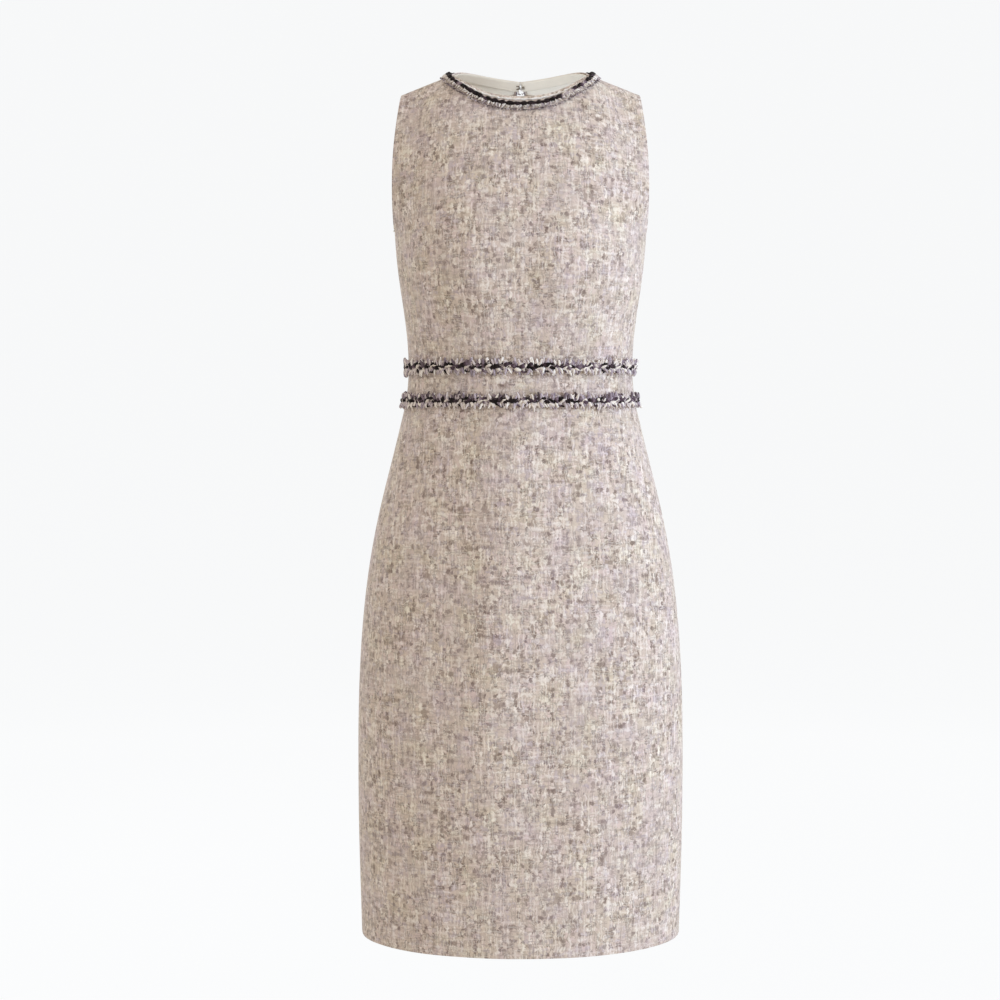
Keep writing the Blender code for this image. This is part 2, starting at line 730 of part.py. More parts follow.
def make_fastener(finish):
    """The hook, on the left facing, over the eye, on the right one. Both lie flat inside the neck edge."""
    place, out = below_neck("back", 0.0, [FASTENER["down"]])[0]
    frame = centre_back_frame(place[2])
    near = -(CLOTH + 2 * LAYER_GAP + FACING_THICK + FASTENER["wire"])
    far = near - 2 * FASTENER["wire"] - LAYER_GAP / 2
    reach, turn, over = FASTENER["reach"], FASTENER["turn"], FASTENER["over"]
    side = [(reach, 2.6 * turn, near), (reach * 0.75, 2.2 * turn, near), (reach * 0.45, turn * 1.6, far),
            (turn - over, turn * 1.6, far), (-over, 0.9 * turn, far)]
    wire("hook", frame, side + [(x, -y, z) for x, y, z in reversed(side)], finish)
    side = [(-reach, 4.2 * turn, near), (-0.75 * over - turn, 4.2 * turn, near), (-0.75 * over, 3.4 * turn, near)]
    wire("eye", frame, side + [(x, -y, z) for x, y, z in reversed(side)], finish)


# ---------------------------------------------------------------- main
def main():
    clear_scene()
    tweed = material("tweed", (0.50, 0.42, 0.37), 0.9)
    facing = material("facing", (0.55, 0.50, 0.44), 0.8)
    dark = material("dark_cord", (0.03, 0.025, 0.025), 0.8)
    pale = material("pale_fringe", (0.62, 0.58, 0.60), 0.9)
    tape = material("zip_tape", (0.45, 0.39, 0.34), 0.8)
    metal = material("zip_metal", (0.42, 0.37, 0.33), 0.4, 0.7)
    wire_metal = material("dark_metal", (0.05, 0.045, 0.04), 0.4, 0.8)
    make_bodice(tweed)
    tube_panels("waistband", waistband_levels(), tweed)
    tube_panels("skirt", skirt_levels(), tweed)
    make_facing(facing)
    make_trims(dark, pale)
    make_zip_tapes(tape)
    frame = centre_back_frame(SLIDER["z"])
    make_slider(frame, metal)
    make_pull(frame, metal)
    make_fastener(wire_metal)


PIECES = bpy.data.collections.new("sheath_dress")
CUTTERS = bpy.data.collections.new("joined_shapes")
for group in (PIECES, CUTTERS):
    bpy.context.scene.collection.children.link(group)
main()
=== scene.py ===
import math

import bmesh
import bpy
import numpy as np
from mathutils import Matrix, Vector
from mathutils.bvhtree import BVHTree
from mathutils.kdtree import KDTree


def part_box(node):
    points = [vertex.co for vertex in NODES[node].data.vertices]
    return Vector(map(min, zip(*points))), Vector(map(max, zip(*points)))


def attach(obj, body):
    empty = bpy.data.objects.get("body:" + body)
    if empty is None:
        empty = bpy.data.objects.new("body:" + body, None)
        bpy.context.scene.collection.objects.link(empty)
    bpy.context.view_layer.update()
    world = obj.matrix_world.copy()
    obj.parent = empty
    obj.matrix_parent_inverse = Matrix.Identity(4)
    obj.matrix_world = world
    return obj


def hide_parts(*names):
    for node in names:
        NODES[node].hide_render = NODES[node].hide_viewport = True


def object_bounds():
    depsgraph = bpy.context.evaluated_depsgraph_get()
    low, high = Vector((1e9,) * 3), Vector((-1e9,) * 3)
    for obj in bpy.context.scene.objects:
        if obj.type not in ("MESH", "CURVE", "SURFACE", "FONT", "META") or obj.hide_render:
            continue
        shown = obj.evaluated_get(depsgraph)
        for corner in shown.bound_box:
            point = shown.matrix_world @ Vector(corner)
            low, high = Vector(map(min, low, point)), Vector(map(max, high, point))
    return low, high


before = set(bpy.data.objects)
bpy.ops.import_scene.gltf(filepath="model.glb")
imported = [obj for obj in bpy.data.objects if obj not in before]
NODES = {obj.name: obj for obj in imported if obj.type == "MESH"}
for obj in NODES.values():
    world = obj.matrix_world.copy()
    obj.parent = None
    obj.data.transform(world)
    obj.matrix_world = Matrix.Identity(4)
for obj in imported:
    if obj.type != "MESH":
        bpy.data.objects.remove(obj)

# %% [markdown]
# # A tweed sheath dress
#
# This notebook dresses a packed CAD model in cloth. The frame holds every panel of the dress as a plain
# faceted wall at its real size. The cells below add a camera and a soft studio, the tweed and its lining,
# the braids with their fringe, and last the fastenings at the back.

MM = 0.001
CAD_LOW, CAD_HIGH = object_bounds()
WAIST_LOW, WAIST_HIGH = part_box("waistband_front")
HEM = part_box("skirt_front")[0].z


def linked(name, data):
    """A new object in the scene."""
    made = bpy.data.objects.new(name, data)
    bpy.context.scene.collection.objects.link(made)
    return made


print(f"the frame is {(CAD_HIGH.z - CAD_LOW.z) * 1000:.0f} mm tall, hem at {HEM:.3f}")

# %% [markdown]
# ## Camera
#
# A garment is best seen from straight ahead, level with the waist, through a long lens that stretches
# neither neck nor hem. A small tilt and a small lens shift together lower the frame to the skirt. Tilting
# alone would make the skirt look narrower than it is.

# %% Camera
CAMERA = {
    "distance": 2.2, "under_waist": 5 * MM, "tilt": 1.65, "lens": 72.18, "shift": (-0.0205, -0.0518),
    "clip": (0.05, 60.0),
}


def make_camera():
    """The camera, level with the middle of the waistband and in front of the dress."""
    data = bpy.data.cameras.new("camera")
    data.lens = CAMERA["lens"]
    data.shift_x, data.shift_y = CAMERA["shift"]
    data.clip_start, data.clip_end = CAMERA["clip"]
    camera = linked("camera", data)
    height = (WAIST_HIGH.z + WAIST_LOW.z) / 2 - CAMERA["under_waist"]
    camera.location = (0.0, -CAMERA["distance"], height)
    camera.rotation_euler = (math.radians(90 - CAMERA["tilt"]), 0.0, 0.0)
    bpy.context.scene.camera = camera
    return camera


print("camera at", [round(value, 3) for value in make_camera().location])

# %% [markdown]
# ## A small language for nodes
#
# Materials and Geometry Nodes are trees of nodes, which are hard to read when they are written out one by
# one. Two small classes let a formula look like a formula. A `Value` is one output of a node, and arithmetic
# on it adds a Math node. A `Graph` adds any other node: settings first, then what feeds it.


# %% Values
def operation(name, swapped=False):
    """A method that joins a value with others in a Math node."""
    def method(self, *others):
        return self.graph.math(name, *(*others, self) if swapped else (self, *others))
    return method


class Value:
    """One output of a node, which takes part in Python arithmetic."""

    __add__ = __radd__ = operation("ADD")
    __sub__, __rsub__ = operation("SUBTRACT"), operation("SUBTRACT", swapped=True)
    __mul__ = __rmul__ = operation("MULTIPLY")
    __truediv__, __mod__ = operation("DIVIDE"), operation("FLOORED_MODULO")
    __gt__, __lt__ = operation("GREATER_THAN"), operation("LESS_THAN")
    floor, sine, largest = operation("FLOOR"), operation("SINE"), operation("MAXIMUM")

    def __init__(self, graph, socket):
        self.graph, self.socket = graph, socket

    def smooth(self, low, high):
        """0 below low, 1 above high, and a soft step between them."""
        feeds = {"Value": self, "From Min": low, "From Max": high}
        return self.graph.add("ShaderNodeMapRange", {"interpolation_type": "SMOOTHSTEP"}, feeds)

    def output(self, name):
        """Another output of the same node."""
        return Value(self.graph, self.socket.node.outputs[name])

    def across_and_along(self):
        """The first two parts of a vector."""
        parts = self.graph.add("ShaderNodeSeparateXYZ", None, {0: self})
        return parts, parts.output("Y")


print("a Value has", len(vars(Value)), "parts")


# %% Graphs
class Graph:
    """A node tree that is written as calls."""

    def __init__(self, tree):
        self.tree = tree

    def add(self, kind, settings=None, feeds=None, out=0):
        """Adds a node: its settings first, then the values or links of its inputs."""
        node = self.tree.nodes.new(kind)
        for name, value in (settings or {}).items():
            setattr(node, name, value)
        for name, value in (feeds or {}).items():
            self.feed(node.inputs[name], value)
        return Value(self, node.outputs[out])

    def feed(self, socket, value):
        if isinstance(value, Value):
            self.tree.links.new(value.socket, socket)
        else:
            socket.default_value = value

    def math(self, operation, *values):
        return self.add("ShaderNodeMath", {"operation": operation}, dict(enumerate(values)))

    def vector(self, operation, *values):
        return self.add("ShaderNodeVectorMath", {"operation": operation}, dict(enumerate(values)))

    def steps(self, *parts):
        """The sum of directions, each taken by its own amount."""
        kind, scale = "ShaderNodeVectorMath", {"operation": "SCALE"}
        total, *others = [self.add(kind, scale, {0: way, "Scale": far}) for way, far in parts]
        for other in others:
            total = self.vector("ADD", total, other)
        return total

    def point(self, x, y, z=0.0):
        return self.add("ShaderNodeCombineXYZ", None, {0: x, 1: y, 2: z})

    def noise(self, place, scale, detail=2.0, dimensions="3D"):
        feeds = {"Vector": place, "Scale": scale, "Detail": detail}
        return self.add("ShaderNodeTexNoise", {"noise_dimensions": dimensions}, feeds)

    def chance(self, x, y=0.0):
        """An even random number from 0 to 1 for each pair of whole numbers."""
        return self.add("ShaderNodeTexWhiteNoise", {"noise_dimensions": "2D"}, {"Vector": self.point(x, y)})

    def random(self, seed):
        """A random number from -1 to 1 for each point or instance."""
        feeds = {2: -1.0, 3: 1.0, "Seed": seed}
        return self.add("FunctionNodeRandomValue", {"data_type": "FLOAT"}, feeds, out=1)

    def ramp(self, share, stops, interpolation="LINEAR"):
        """Turns a share from 0 to 1 into a colour by (position, colour) stops."""
        colours = self.add("ShaderNodeValToRGB", None, {"Fac": share})
        band = colours.socket.node.color_ramp
        while len(band.elements) < len(stops):
            band.elements.new(0.5)
        for element, (position, colour) in zip(band.elements, stops):
            element.position, element.color = position, colour
        band.interpolation = interpolation
        return colours

    def mix(self, share, below, above, blend="MIX"):
        """Lays one colour over another."""
        settings = {"data_type": "RGBA", "blend_type": blend}
        return self.add("ShaderNodeMix", settings, {0: share, 6: below, 7: above}, out=2)

    def shaded(self, colour, red, green=None, blue=None):
        """A colour made lighter or darker, by one number for all of it or one for each channel."""
        amount = self.point(red, green or red, blue or red)
        return self.mix(1.0, colour, amount, "MULTIPLY")

    def bump(self, height, strength, distance):
        feeds = {"Strength": strength, "Distance": distance, "Height": height}
        return self.add("ShaderNodeBump", None, feeds)


print("a Graph has", len(vars(Graph)), "parts")


# %% Colours and materials
def display(red, green, blue):
    """A colour as a screen shows it, from 0 to 255, as the linear values that shaders use."""
    shares = [value / 255 for value in (red, green, blue)]
    return (*[s / 12.92 if s <= 0.04 else ((s + 0.055) / 1.055) ** 2.4 for s in shares], 1.0)


def bands(*parts):
    """Ramp stops from (share, colour) parts, each colour filling its share of the ramp."""
    whole, start, stops = sum(share for share, _ in parts), 0.0, []
    for share, colour in parts:
        stops.append((start / whole, display(*colour)))
        start += share
    return stops


def add_material(name):
    """A new material and the graph of its nodes."""
    made = bpy.data.materials.new(name)
    made.use_nodes = True
    return made, Graph(made.node_tree)


def finished(paint, feeds):
    """Feeds the sockets of a material's Principled shader."""
    shader = paint.node_tree.nodes["Principled BSDF"]
    for name, value in feeds.items():
        Graph(paint.node_tree).feed(shader.inputs[name], value)
    return paint


print("a mid beige is", [round(value, 3) for value in display(200, 182, 168)])

# %% [markdown]
# ## Studio
#
# The dress hangs in a wide white bowl: a floor that curves up into a wall all round, so that no horizon
# shows. The bowl itself lights nothing. A weak warm light comes from all round, which is the shade on the
# dress, and one large cool light stands at its left, the viewer's right. It reaches only the cloth that
# turns towards it, so the folds and the bust show. Two weaker lamps stand high in front and behind. A small
# one inside the neck brightens the facing, as is done when a garment is shown without a wearer.

# %% A white bowl
BOWL = {"radius": 6.0, "wall": 5.0, "curve": 2.0, "drop": 0.45, "middle": 0.001, "sides": 48, "rings": 9}
BOWL_LIGHT = 0.93         # what the bowl sends to the camera


def link_mesh(name, points, faces, edges=()):
    """A mesh object in the scene."""
    mesh = bpy.data.meshes.new(name)
    mesh.from_pydata([tuple(point) for point in points], list(edges), list(faces))
    return linked(name, mesh)


def make_bowl():
    """The floor and its curved wall, as rings from the middle outwards and up."""
    floor = CAD_LOW.z - BOWL["drop"]
    bend, reach, count = BOWL["curve"], BOWL["radius"], BOWL["sides"]
    turns = np.linspace(0, math.pi / 2, BOWL["rings"])
    curve = [(bend * math.sin(turn), bend * (1 - math.cos(turn))) for turn in turns]
    profile = [(BOWL["middle"], floor), *[(reach - bend + out, floor + up) for out, up in curve]]
    profile.append((reach, floor + BOWL["wall"]))
    around = np.linspace(0, 2 * math.pi, count, endpoint=False)
    points = [(r * math.cos(a), r * math.sin(a), z) for r, z in profile for a in around]
    faces = [tuple(range(count))]
    for here in range(0, (len(profile) - 1) * count, count):
        for i in range(count):
            j = (i + 1) % count
            faces.append((here + i, here + count + i, here + count + j, here + j))
    bowl = link_mesh("studio_bowl", points, faces)
    bowl.data.shade_smooth()
    paint, _ = add_material("studio_white")
    bowl.data.materials.append(finished(paint, {
        "Base Color": display(50, 50, 50), "Roughness": 0.9, "Emission Color": display(250, 251, 252),
        "Emission Strength": BOWL_LIGHT,
    }))
    bowl.visible_diffuse = False
    return bowl


print("a bowl of", len(make_bowl().data.polygons), "faces,", 2 * BOWL["radius"], "m across")

# %% Lamps
SKIRT = (0.0, 0.0, -0.45)
LAMPS = (
    # name, place, aim, size, spread in degrees, watts, colour
    ("key_light", (2.5, -1.15, 0.0), SKIRT, 1.8, 180, 57.3, (0.69, 0.84, 1.02)),
    ("front_light", (-0.45, -2.2, 1.8), SKIRT, 1.2, 180, 8.0, (0.98, 0.98, 1.0)),
    ("back_light", (-1.2, 2.6, 0.6), SKIRT, 1.8, 180, 16.0, (0.97, 0.98, 1.0)),
    ("neck_light", (-0.03, -0.03, -0.10), (0.06, 0.03, 0.0), 0.06, 90, 0.026, (0.72, 0.86, 1.0)),
)
SHADE, SHADE_STRENGTH = (1.0, 0.935, 0.83, 1.0), 0.67


def make_lamps():
    for name, place, aim, size, spread, watts, colour in LAMPS:
        data = bpy.data.lights.new(name, "AREA")
        data.shape, data.size, data.energy, data.color = "DISK", size, watts, colour
        data.spread = math.radians(spread)
        lamp = linked(name, data)
        lamp.location = place
        lamp.rotation_euler = (Vector(aim) - Vector(place)).to_track_quat("-Z", "Y").to_euler()
        lamp.visible_camera = False
    world = bpy.data.worlds.new("studio_air")
    world.use_nodes = True
    air = world.node_tree.nodes["Background"].inputs
    air["Color"].default_value, air["Strength"].default_value = SHADE, SHADE_STRENGTH
    bpy.context.scene.world = world


make_lamps()
bpy.context.scene.view_settings.view_transform = "Standard"
print(len(LAMPS), "lamps, and", SHADE_STRENGTH, "from all round")

# %% [markdown]
# ## Tweed
#
# A boucle tweed is a loose plain weave of thick uneven yarns. Each cell of its grid shows either the yarn
# that runs down the cloth or the one that runs across it, whichever lies on top. Most yarns are beige, some
# are cream, lilac grey or taupe for a stretch, and many crossings carry a dark or a pale fleck. Fine
# straight threads, bright and dark, are twisted in, and the cloth drifts between lilac and straw.
#
# The pattern is worked out from the UV map, which holds the panel as it was cut, in metres. That keeps the
# grain straight on each piece and lets it break at the seams, as it does on a sewn garment.

# %% Yarns of the weave
WARP_PITCH, WEFT_PITCH = 3.9 * MM, 5.0 * MM
WARP_STRETCH, WEFT_STRETCH = 13 * MM, 9 * MM     # how far a yarn keeps its colour
WARP_COLOURS = bands(
    (0.52, (204, 188, 177)), (0.13, (222, 211, 203)), (0.13, (208, 190, 184)), (0.12, (192, 178, 177)),
    (0.10, (174, 157, 147)),
)
WEFT_COLOURS = bands(
    (0.55, (201, 185, 175)), (0.11, (219, 208, 200)), (0.12, (206, 188, 182)), (0.12, (189, 175, 175)),
    (0.10, (168, 151, 141)),
)


def yarn_set(graph, across, along, curl, pitch, stretch, stops, seed):
    """Parallel yarns: the number of the yarn at a point, its roundness, its colour, and two fine threads.

    The yarn itself curls. The fine threads twisted into it, one bright and one dark, run straighter.
    """
    place = (across + curl) / pitch
    number = place.floor()
    roundness = ((place - number) * math.pi).sine()
    start = graph.chance(number, seed) * 9.0
    piece = (along / stretch + start).floor()
    colour = graph.ramp(graph.chance(number, piece + seed), stops, "CONSTANT")
    line = across / pitch
    ridge = ((line - line.floor()) * math.pi).sine().smooth(0.84, 0.98)
    pick = graph.chance(line.floor(), piece + seed + 0.5)
    return number, roundness, colour, ridge * (pick < 0.40), ridge * (pick > 0.72)


print(f"a yarn every {WARP_PITCH * 1000:.1f} mm across and {WEFT_PITCH * 1000:.1f} mm down")

# %% Tweed
SWAY, CURL = 5.0 * MM, 4.5 * MM     # how far a yarn wanders slowly, and how far it curls
DARK_FLECK, PALE_FLECK = display(106, 89, 83), display(234, 226, 219)
DARK_THREAD, BRIGHT_THREAD = display(128, 112, 106), display(238, 231, 225)
# The first colour on the next line is painted shade: the darker taupe that fills the narrow gaps between the
# yarns.
GAP_SHADE, HAZE = display(128, 112, 103), display(196, 182, 184)
NOISES = {
    # how fine it is, and its detail
    "slub": (150.0, 2.0), "patch": (48.0, 2.0), "haze": (22.0, 2.0), "lilac": (34.0, 2.0),
    "fibre": (800.0, 2.0), "sway": (110.0, 2.0), "curl": (380.0, 1.0),
}


def make_tweed():
    paint, graph = add_material("boucle_tweed")
    cut = graph.add("ShaderNodeUVMap", {"uv_map": "cut"})
    noises = [graph.noise(cut, fine, detail, "2D") for fine, detail in NOISES.values()]
    slub, patch, haze, lilac, fibre, sway, curl = noises
    sways = [(part - 0.5) * SWAY for part in sway.output("Color").across_and_along()]
    across, along = [place + part for place, part in zip(cut.across_and_along(), sways)]
    curls = [(part - 0.5) * CURL for part in curl.output("Color").across_and_along()]
    warp, warp_round, warp_colour, warp_bright, warp_dark = yarn_set(
        graph, across, along, curls[0], WARP_PITCH, WARP_STRETCH, WARP_COLOURS, 11.0)
    weft, weft_round, weft_colour, weft_bright, weft_dark = yarn_set(
        graph, along, across, curls[1], WEFT_PITCH, WEFT_STRETCH, WEFT_COLOURS, 53.0)
    over = ((warp + weft) % 2.0) * 0.3
    warp_height = warp_round * (over + 0.6) + slub * 1.1
    weft_height = weft_round * (0.95 - over) + 0.5
    colour = graph.mix((warp_height - weft_height).smooth(-0.3, 0.3), weft_colour, warp_colour)
    lot = graph.chance(warp + 0.5, weft + 0.5)
    share = graph.chance(weft, 7.0) * 0.12 + (patch - 0.5) * 0.6 + 0.22
    fleck_edge = (warp_round * weft_round).smooth(0.0, 0.45)
    pale_fleck = (lot > 0.88) * fleck_edge
    # Painted shade: where neither yarn stands high, in the gaps between them, the colour is darkened by up
    # to 0.3.
    gap = 1.0 - (warp_round.largest(weft_round)).smooth(0.2, 0.8)
    colour = graph.mix(gap * 0.3, colour, GAP_SHADE)
    colour = graph.mix((lot < share) * fleck_edge * (slub + 0.12), colour, DARK_FLECK)
    colour = graph.mix(pale_fleck * 0.42, colour, PALE_FLECK)
    colour = graph.mix(warp_bright.largest(weft_bright * 0.7) * 0.42, colour, BRIGHT_THREAD)
    colour = graph.mix(warp_dark.largest(weft_dark * 0.8) * 0.40, colour, DARK_THREAD)
    colour = graph.mix(haze.smooth(0.4, 0.7) * 0.25, colour, HAZE)
    shade = (fibre - 0.5) * 0.2 + (slub - 0.5) * 0.42 + 1.075
    lilac = lilac - 0.5
    height = warp_height.largest(weft_height) + pale_fleck * 0.3 + fibre * 0.3
    return finished(paint, {
        "Base Color": graph.shaded(colour, shade, shade - lilac * 0.06, shade + lilac * 0.20),
        "Roughness": 0.80 + slub * 0.2, "Normal": graph.bump(height, 0.22, 0.9 * MM), "Sheen Weight": 0.18,
        "Specular IOR Level": 0.25,
    })


TWEED = make_tweed()
print("the tweed has", len(TWEED.node_tree.nodes), "nodes")

# %% [markdown]
# ## Lining, facing and tape
#
# Inside the neck show a plain woven facing and a paler lining below it. Their weave is too small to see from
# here, so they get a soft sheen, a faint crossing of threads and a little unevenness.


# %% Plain cloths
def make_plain_cloth(name, colour, roughness, threads):
    """A fine plain weave. threads is how many threads there are to a metre."""
    paint, graph = add_material(name)
    cut = graph.add("ShaderNodeUVMap", {"uv_map": "cut"})
    x, y = cut.across_and_along()
    turn = 2 * math.pi * threads
    crossing = (x * turn).sine() * (y * turn).sine()
    cloudy = graph.noise(cut, 60.0, 3.0, "2D")
    shade = (cloudy - 0.5) * 0.10 + crossing * 0.03 + 1.0
    return finished(paint, {
        "Base Color": graph.shaded(display(*colour), shade), "Roughness": roughness + cloudy * 0.1,
        "Normal": graph.bump(crossing * 0.5 + cloudy, 0.25, 0.3 * MM), "Sheen Weight": 0.1,
    })


LINING = make_plain_cloth("lining", (248, 241, 231), 0.5, 1400)
FACING = make_plain_cloth("facing_cloth", (240, 231, 219), 0.7, 900)
TAPE = make_plain_cloth("zip_tape_weave", (196, 180, 166), 0.75, 1100)
print("three plain cloths:", LINING.name, FACING.name, TAPE.name)

# %% [markdown]
# ## From a faceted wall to a cut panel
#
# Each panel of the frame is a closed wall two millimetres thick. Its outer face is a grid of large facets,
# which is the right cage for a smooth surface. So keep the outer face only. Lay it flat as a cutter would,
# with an unwrap, which gives the UV map "cut" and the true size of the cloth. Subdivide the cage, press the
# creases in, and give the shell its thickness.

# %% The outer face of a wall
WELD = 0.01 * MM
WALL_MOST = 3.5 * MM      # a ray back into the wall meets its other face within this
BELOW = 80 * MM           # outward means away from a point of the hollow this far below
CORNER_TURN = math.radians(40)
QUAD_TURN, QUAD_SKEW = 1.0, 3.1      # two triangles up to this far from flat and square are one facet


def as_bmesh(mesh):
    shape = bmesh.new()
    shape.from_mesh(mesh)
    return shape


def rim_ends(point):
    """The neighbours of a point along the edge of its sheet."""
    return [edge.other_vert(point).co for edge in point.link_edges if edge.is_boundary]


def keep_corners(skin):
    """Marks the points where a panel's edge turns sharply, so that smoothing leaves them in place."""
    crease = skin.verts.layers.float.new("crease_vert")
    for point in skin.verts:
        ends = rim_ends(point)
        if len(ends) == 2 and (ends[0] - point.co).angle(point.co - ends[1]) > CORNER_TURN:
            point[crease] = 1.0


def outer_skin(node):
    """The outer face of a CAD wall: welded, in quads, without the inner face and the rims."""
    skin = as_bmesh(NODES[node].data)
    bmesh.ops.remove_doubles(skin, verts=skin.verts, dist=WELD)
    skin.normal_update()
    tree = BVHTree.FromBMesh(skin)
    dropped = []
    for face in skin.faces:
        middle = face.calc_center_median()
        behind = tree.ray_cast(middle - face.normal * WELD, -face.normal, WALL_MOST)[0]
        hollow = Vector((0.0, 0.0, middle.z - BELOW))
        if behind is None or face.normal.dot(middle - hollow) < 0:
            dropped.append(face)
    bmesh.ops.delete(skin, geom=dropped, context="FACES")
    bmesh.ops.join_triangles(
        skin, faces=skin.faces, angle_face_threshold=QUAD_TURN, angle_shape_threshold=QUAD_SKEW
    )
    keep_corners(skin)
    return skin


print("skirt_front's outer face has", len(outer_skin("skirt_front").faces), "facets")


# %% Objects and arrays
def as_object(name, skin):
    """Puts a bmesh into the scene under a name."""
    mesh = bpy.data.meshes.new(name)
    skin.to_mesh(mesh)
    skin.free()
    return linked(name, mesh)


def apply_modifiers(thing):
    """Turns an object's modifiers into plain mesh."""
    graph = bpy.context.evaluated_depsgraph_get()
    mesh = bpy.data.meshes.new_from_object(
        thing.evaluated_get(graph), preserve_all_data_layers=True, depsgraph=graph
    )
    mesh.name = thing.name
    thing.modifiers.clear()
    thing.data = mesh


def select_only(things):
    """Selects these objects alone. The first of them becomes the active one."""
    bpy.ops.object.select_all(action="DESELECT")
    for thing in things:
        thing.select_set(True)
    bpy.context.view_layer.objects.active = things[0]


def read(values, key, width=1, kind=np.float64):
    """Reads one number or vector per element into an array."""
    found = np.empty(len(values) * width, dtype=kind)
    values.foreach_get(key, found)
    return found.reshape(-1, width) if width > 1 else found


def write_points(mesh, points):
    mesh.vertices.foreach_set("co", points.ravel())
    mesh.update()


def surface(mesh):
    """The area of a mesh in square metres."""
    return sum(face.area for face in mesh.polygons)


tape_points = read(NODES["zip_tape_left"].data.vertices, "co", 3)
print("a zip tape is", round(1000 * np.ptp(tape_points[:, 2])), "mm long")

# %% Laying a panel flat
CENTRE_REACH = 6 * MM     # the grain follows the points this near the centre plane
GRAIN_ENDS = 0.2          # and runs from the lowest to the highest fifth of them


def flat_area(mesh, flat):
    """The area that the faces cover in the flat map."""
    total = 0.0
    for face in mesh.polygons:
        corners = flat[face.loop_start:face.loop_start + face.loop_total]
        after = np.roll(corners, -1, axis=0)
        total += 0.5 * abs(np.sum(corners[:, 0] * after[:, 1] - corners[:, 1] * after[:, 0]))
    return total


def unwrap(cloth):
    """Unwraps a panel into the map "cut"."""
    cloth.data.uv_layers.new(name="cut")
    select_only([cloth])
    bpy.ops.object.mode_set(mode="EDIT")
    bpy.ops.mesh.select_all(action="SELECT")
    bpy.ops.uv.unwrap(method="ANGLE_BASED", margin=0.0)
    bpy.ops.object.mode_set(mode="OBJECT")


def lay_flat(cloth):
    """Unwraps a panel, scales the map to metres and turns the grain along the centre line."""
    unwrap(cloth)
    mesh = cloth.data
    points = read(mesh.vertices, "co", 3)[read(mesh.loops, "vertex_index", 1, np.int32)]
    layer = mesh.uv_layers["cut"]
    flat = read(layer.uv, "vector", 2)
    area = surface(mesh)
    flat *= math.sqrt(area / flat_area(mesh, flat))
    near = np.abs(points[:, 0]) < np.abs(points[:, 0]).min() + CENTRE_REACH
    line, height = flat[near], points[near, 2]
    upper = line[height >= np.quantile(height, 1 - GRAIN_ENDS)].mean(0)
    up = upper - line[height <= np.quantile(height, GRAIN_ENDS)].mean(0)
    up /= np.hypot(*up)
    turned = np.stack([flat @ np.array([up[1], -up[0]]), flat @ up], axis=1)
    turned -= [turned[near, 0].mean(), turned[near, 1].max()]
    layer.uv.foreach_set("vector", turned.ravel())
    low, high = turned.min(0), turned.max(0)
    return {"flat": (high[0] - low[0], high[1] - low[1]), "area": area}


print("the grain follows", round(CENTRE_REACH * 1000), "mm beside the centre of a panel")

# %% [markdown]
# ## Creases
#
# The cloth is thick, so it bends in long soft folds and never in sharp ones: a broad ridge down the front
# of the skirt, slight pulls from the bust to the armholes, and a few shallow troughs over the hips. Each
# fold is a straight line on the flat panel, with its width and height. The cloth is moved along its own
# normals, most on the line and less beside it and towards its ends.

# %% Folds on the flat panels
FOLDS = {
    # panel: (across, down) of one end, of the other end, half width, height, all in millimetres
    "bodice_front": (
        ((-62, -118), (-118, -84), 13, 0.8), ((64, -122), (122, -92), 15, 0.7),
        ((-46, -150), (-30, -262), 16, 0.7), ((48, -158), (36, -270), 19, 0.6),
        ((-104, -170), (-84, -262), 14, -0.6), ((106, -176), (88, -250), 16, -0.5),
        ((-12, -190), (-4, -290), 22, -0.5), ((-70, -268), (-52, -300), 9, 0.5),
        ((74, -262), (60, -302), 10, 0.5),
    ),
    "bodice_back_left": (
        ((40, -60), (88, -96), 15, 0.8), ((30, -150), (44, -262), 18, -0.7),
        ((84, -160), (72, -268), 14, 0.6), ((18, -262), (26, -300), 10, 0.6),
    ),
    "bodice_back_right": (
        ((-46, -66), (-92, -90), 14, 0.7), ((-34, -140), (-46, -252), 17, -0.6),
        ((-88, -168), (-74, -262), 15, 0.7), ((-22, -270), (-30, -302), 11, 0.5),
    ),
    "skirt_front": (
        ((-6, 70), (-44, -500), 38, 4.8), ((-62, 20), (-88, -420), 32, -2.0),
        ((60, -20), (84, -300), 30, -1.0), ((118, -80), (132, -420), 26, 1.1),
        ((10, -250), (22, -600), 34, -0.9), ((-120, -300), (-112, -600), 28, 1.2),
        ((78, -380), (70, -600), 30, 0.9), ((-60, -470), (-66, -600), 22, -0.7),
    ),
    "skirt_back_left": (
        ((34, 0), (48, -300), 24, 1.3), ((92, -60), (110, -380), 26, -1.1),
        ((60, -320), (66, -600), 30, 1.0), ((134, -260), (140, -600), 24, 0.9),
    ),
    "skirt_back_right": (
        ((-40, 0), (-56, -260), 26, 1.2), ((-98, -90), (-112, -420), 24, -1.0),
        ((-52, -360), (-58, -600), 28, 0.9), ((-138, -300), (-136, -600), 26, 1.0),
    ),
}


def press_folds(cloth, folds):
    """Moves the cloth along its normals by the folds drawn on its flat map."""
    mesh = cloth.data
    flat = np.empty((len(mesh.vertices), 2))
    flat[read(mesh.loops, "vertex_index", 1, np.int32)] = read(mesh.uv_layers["cut"].uv, "vector", 2)
    rise = np.zeros(len(flat))
    for start, end, width, height in folds:
        start, run = np.array(start) * MM, (np.array(end) - np.array(start)) * MM
        share = np.clip((flat - start) @ run / (run @ run), 0.0, 1.0)
        away = np.hypot(*(flat - start - share[:, None] * run).T) / (width * MM)
        rise += height * MM * np.exp(-away * away) * np.sqrt(np.sin(np.pi * share))
    normals = read(mesh.vertex_normals, "vector", 3)
    write_points(mesh, read(mesh.vertices, "co", 3) + normals * rise[:, None])


print(sum(len(folds) for folds in FOLDS.values()), "folds on", len(FOLDS), "panels")

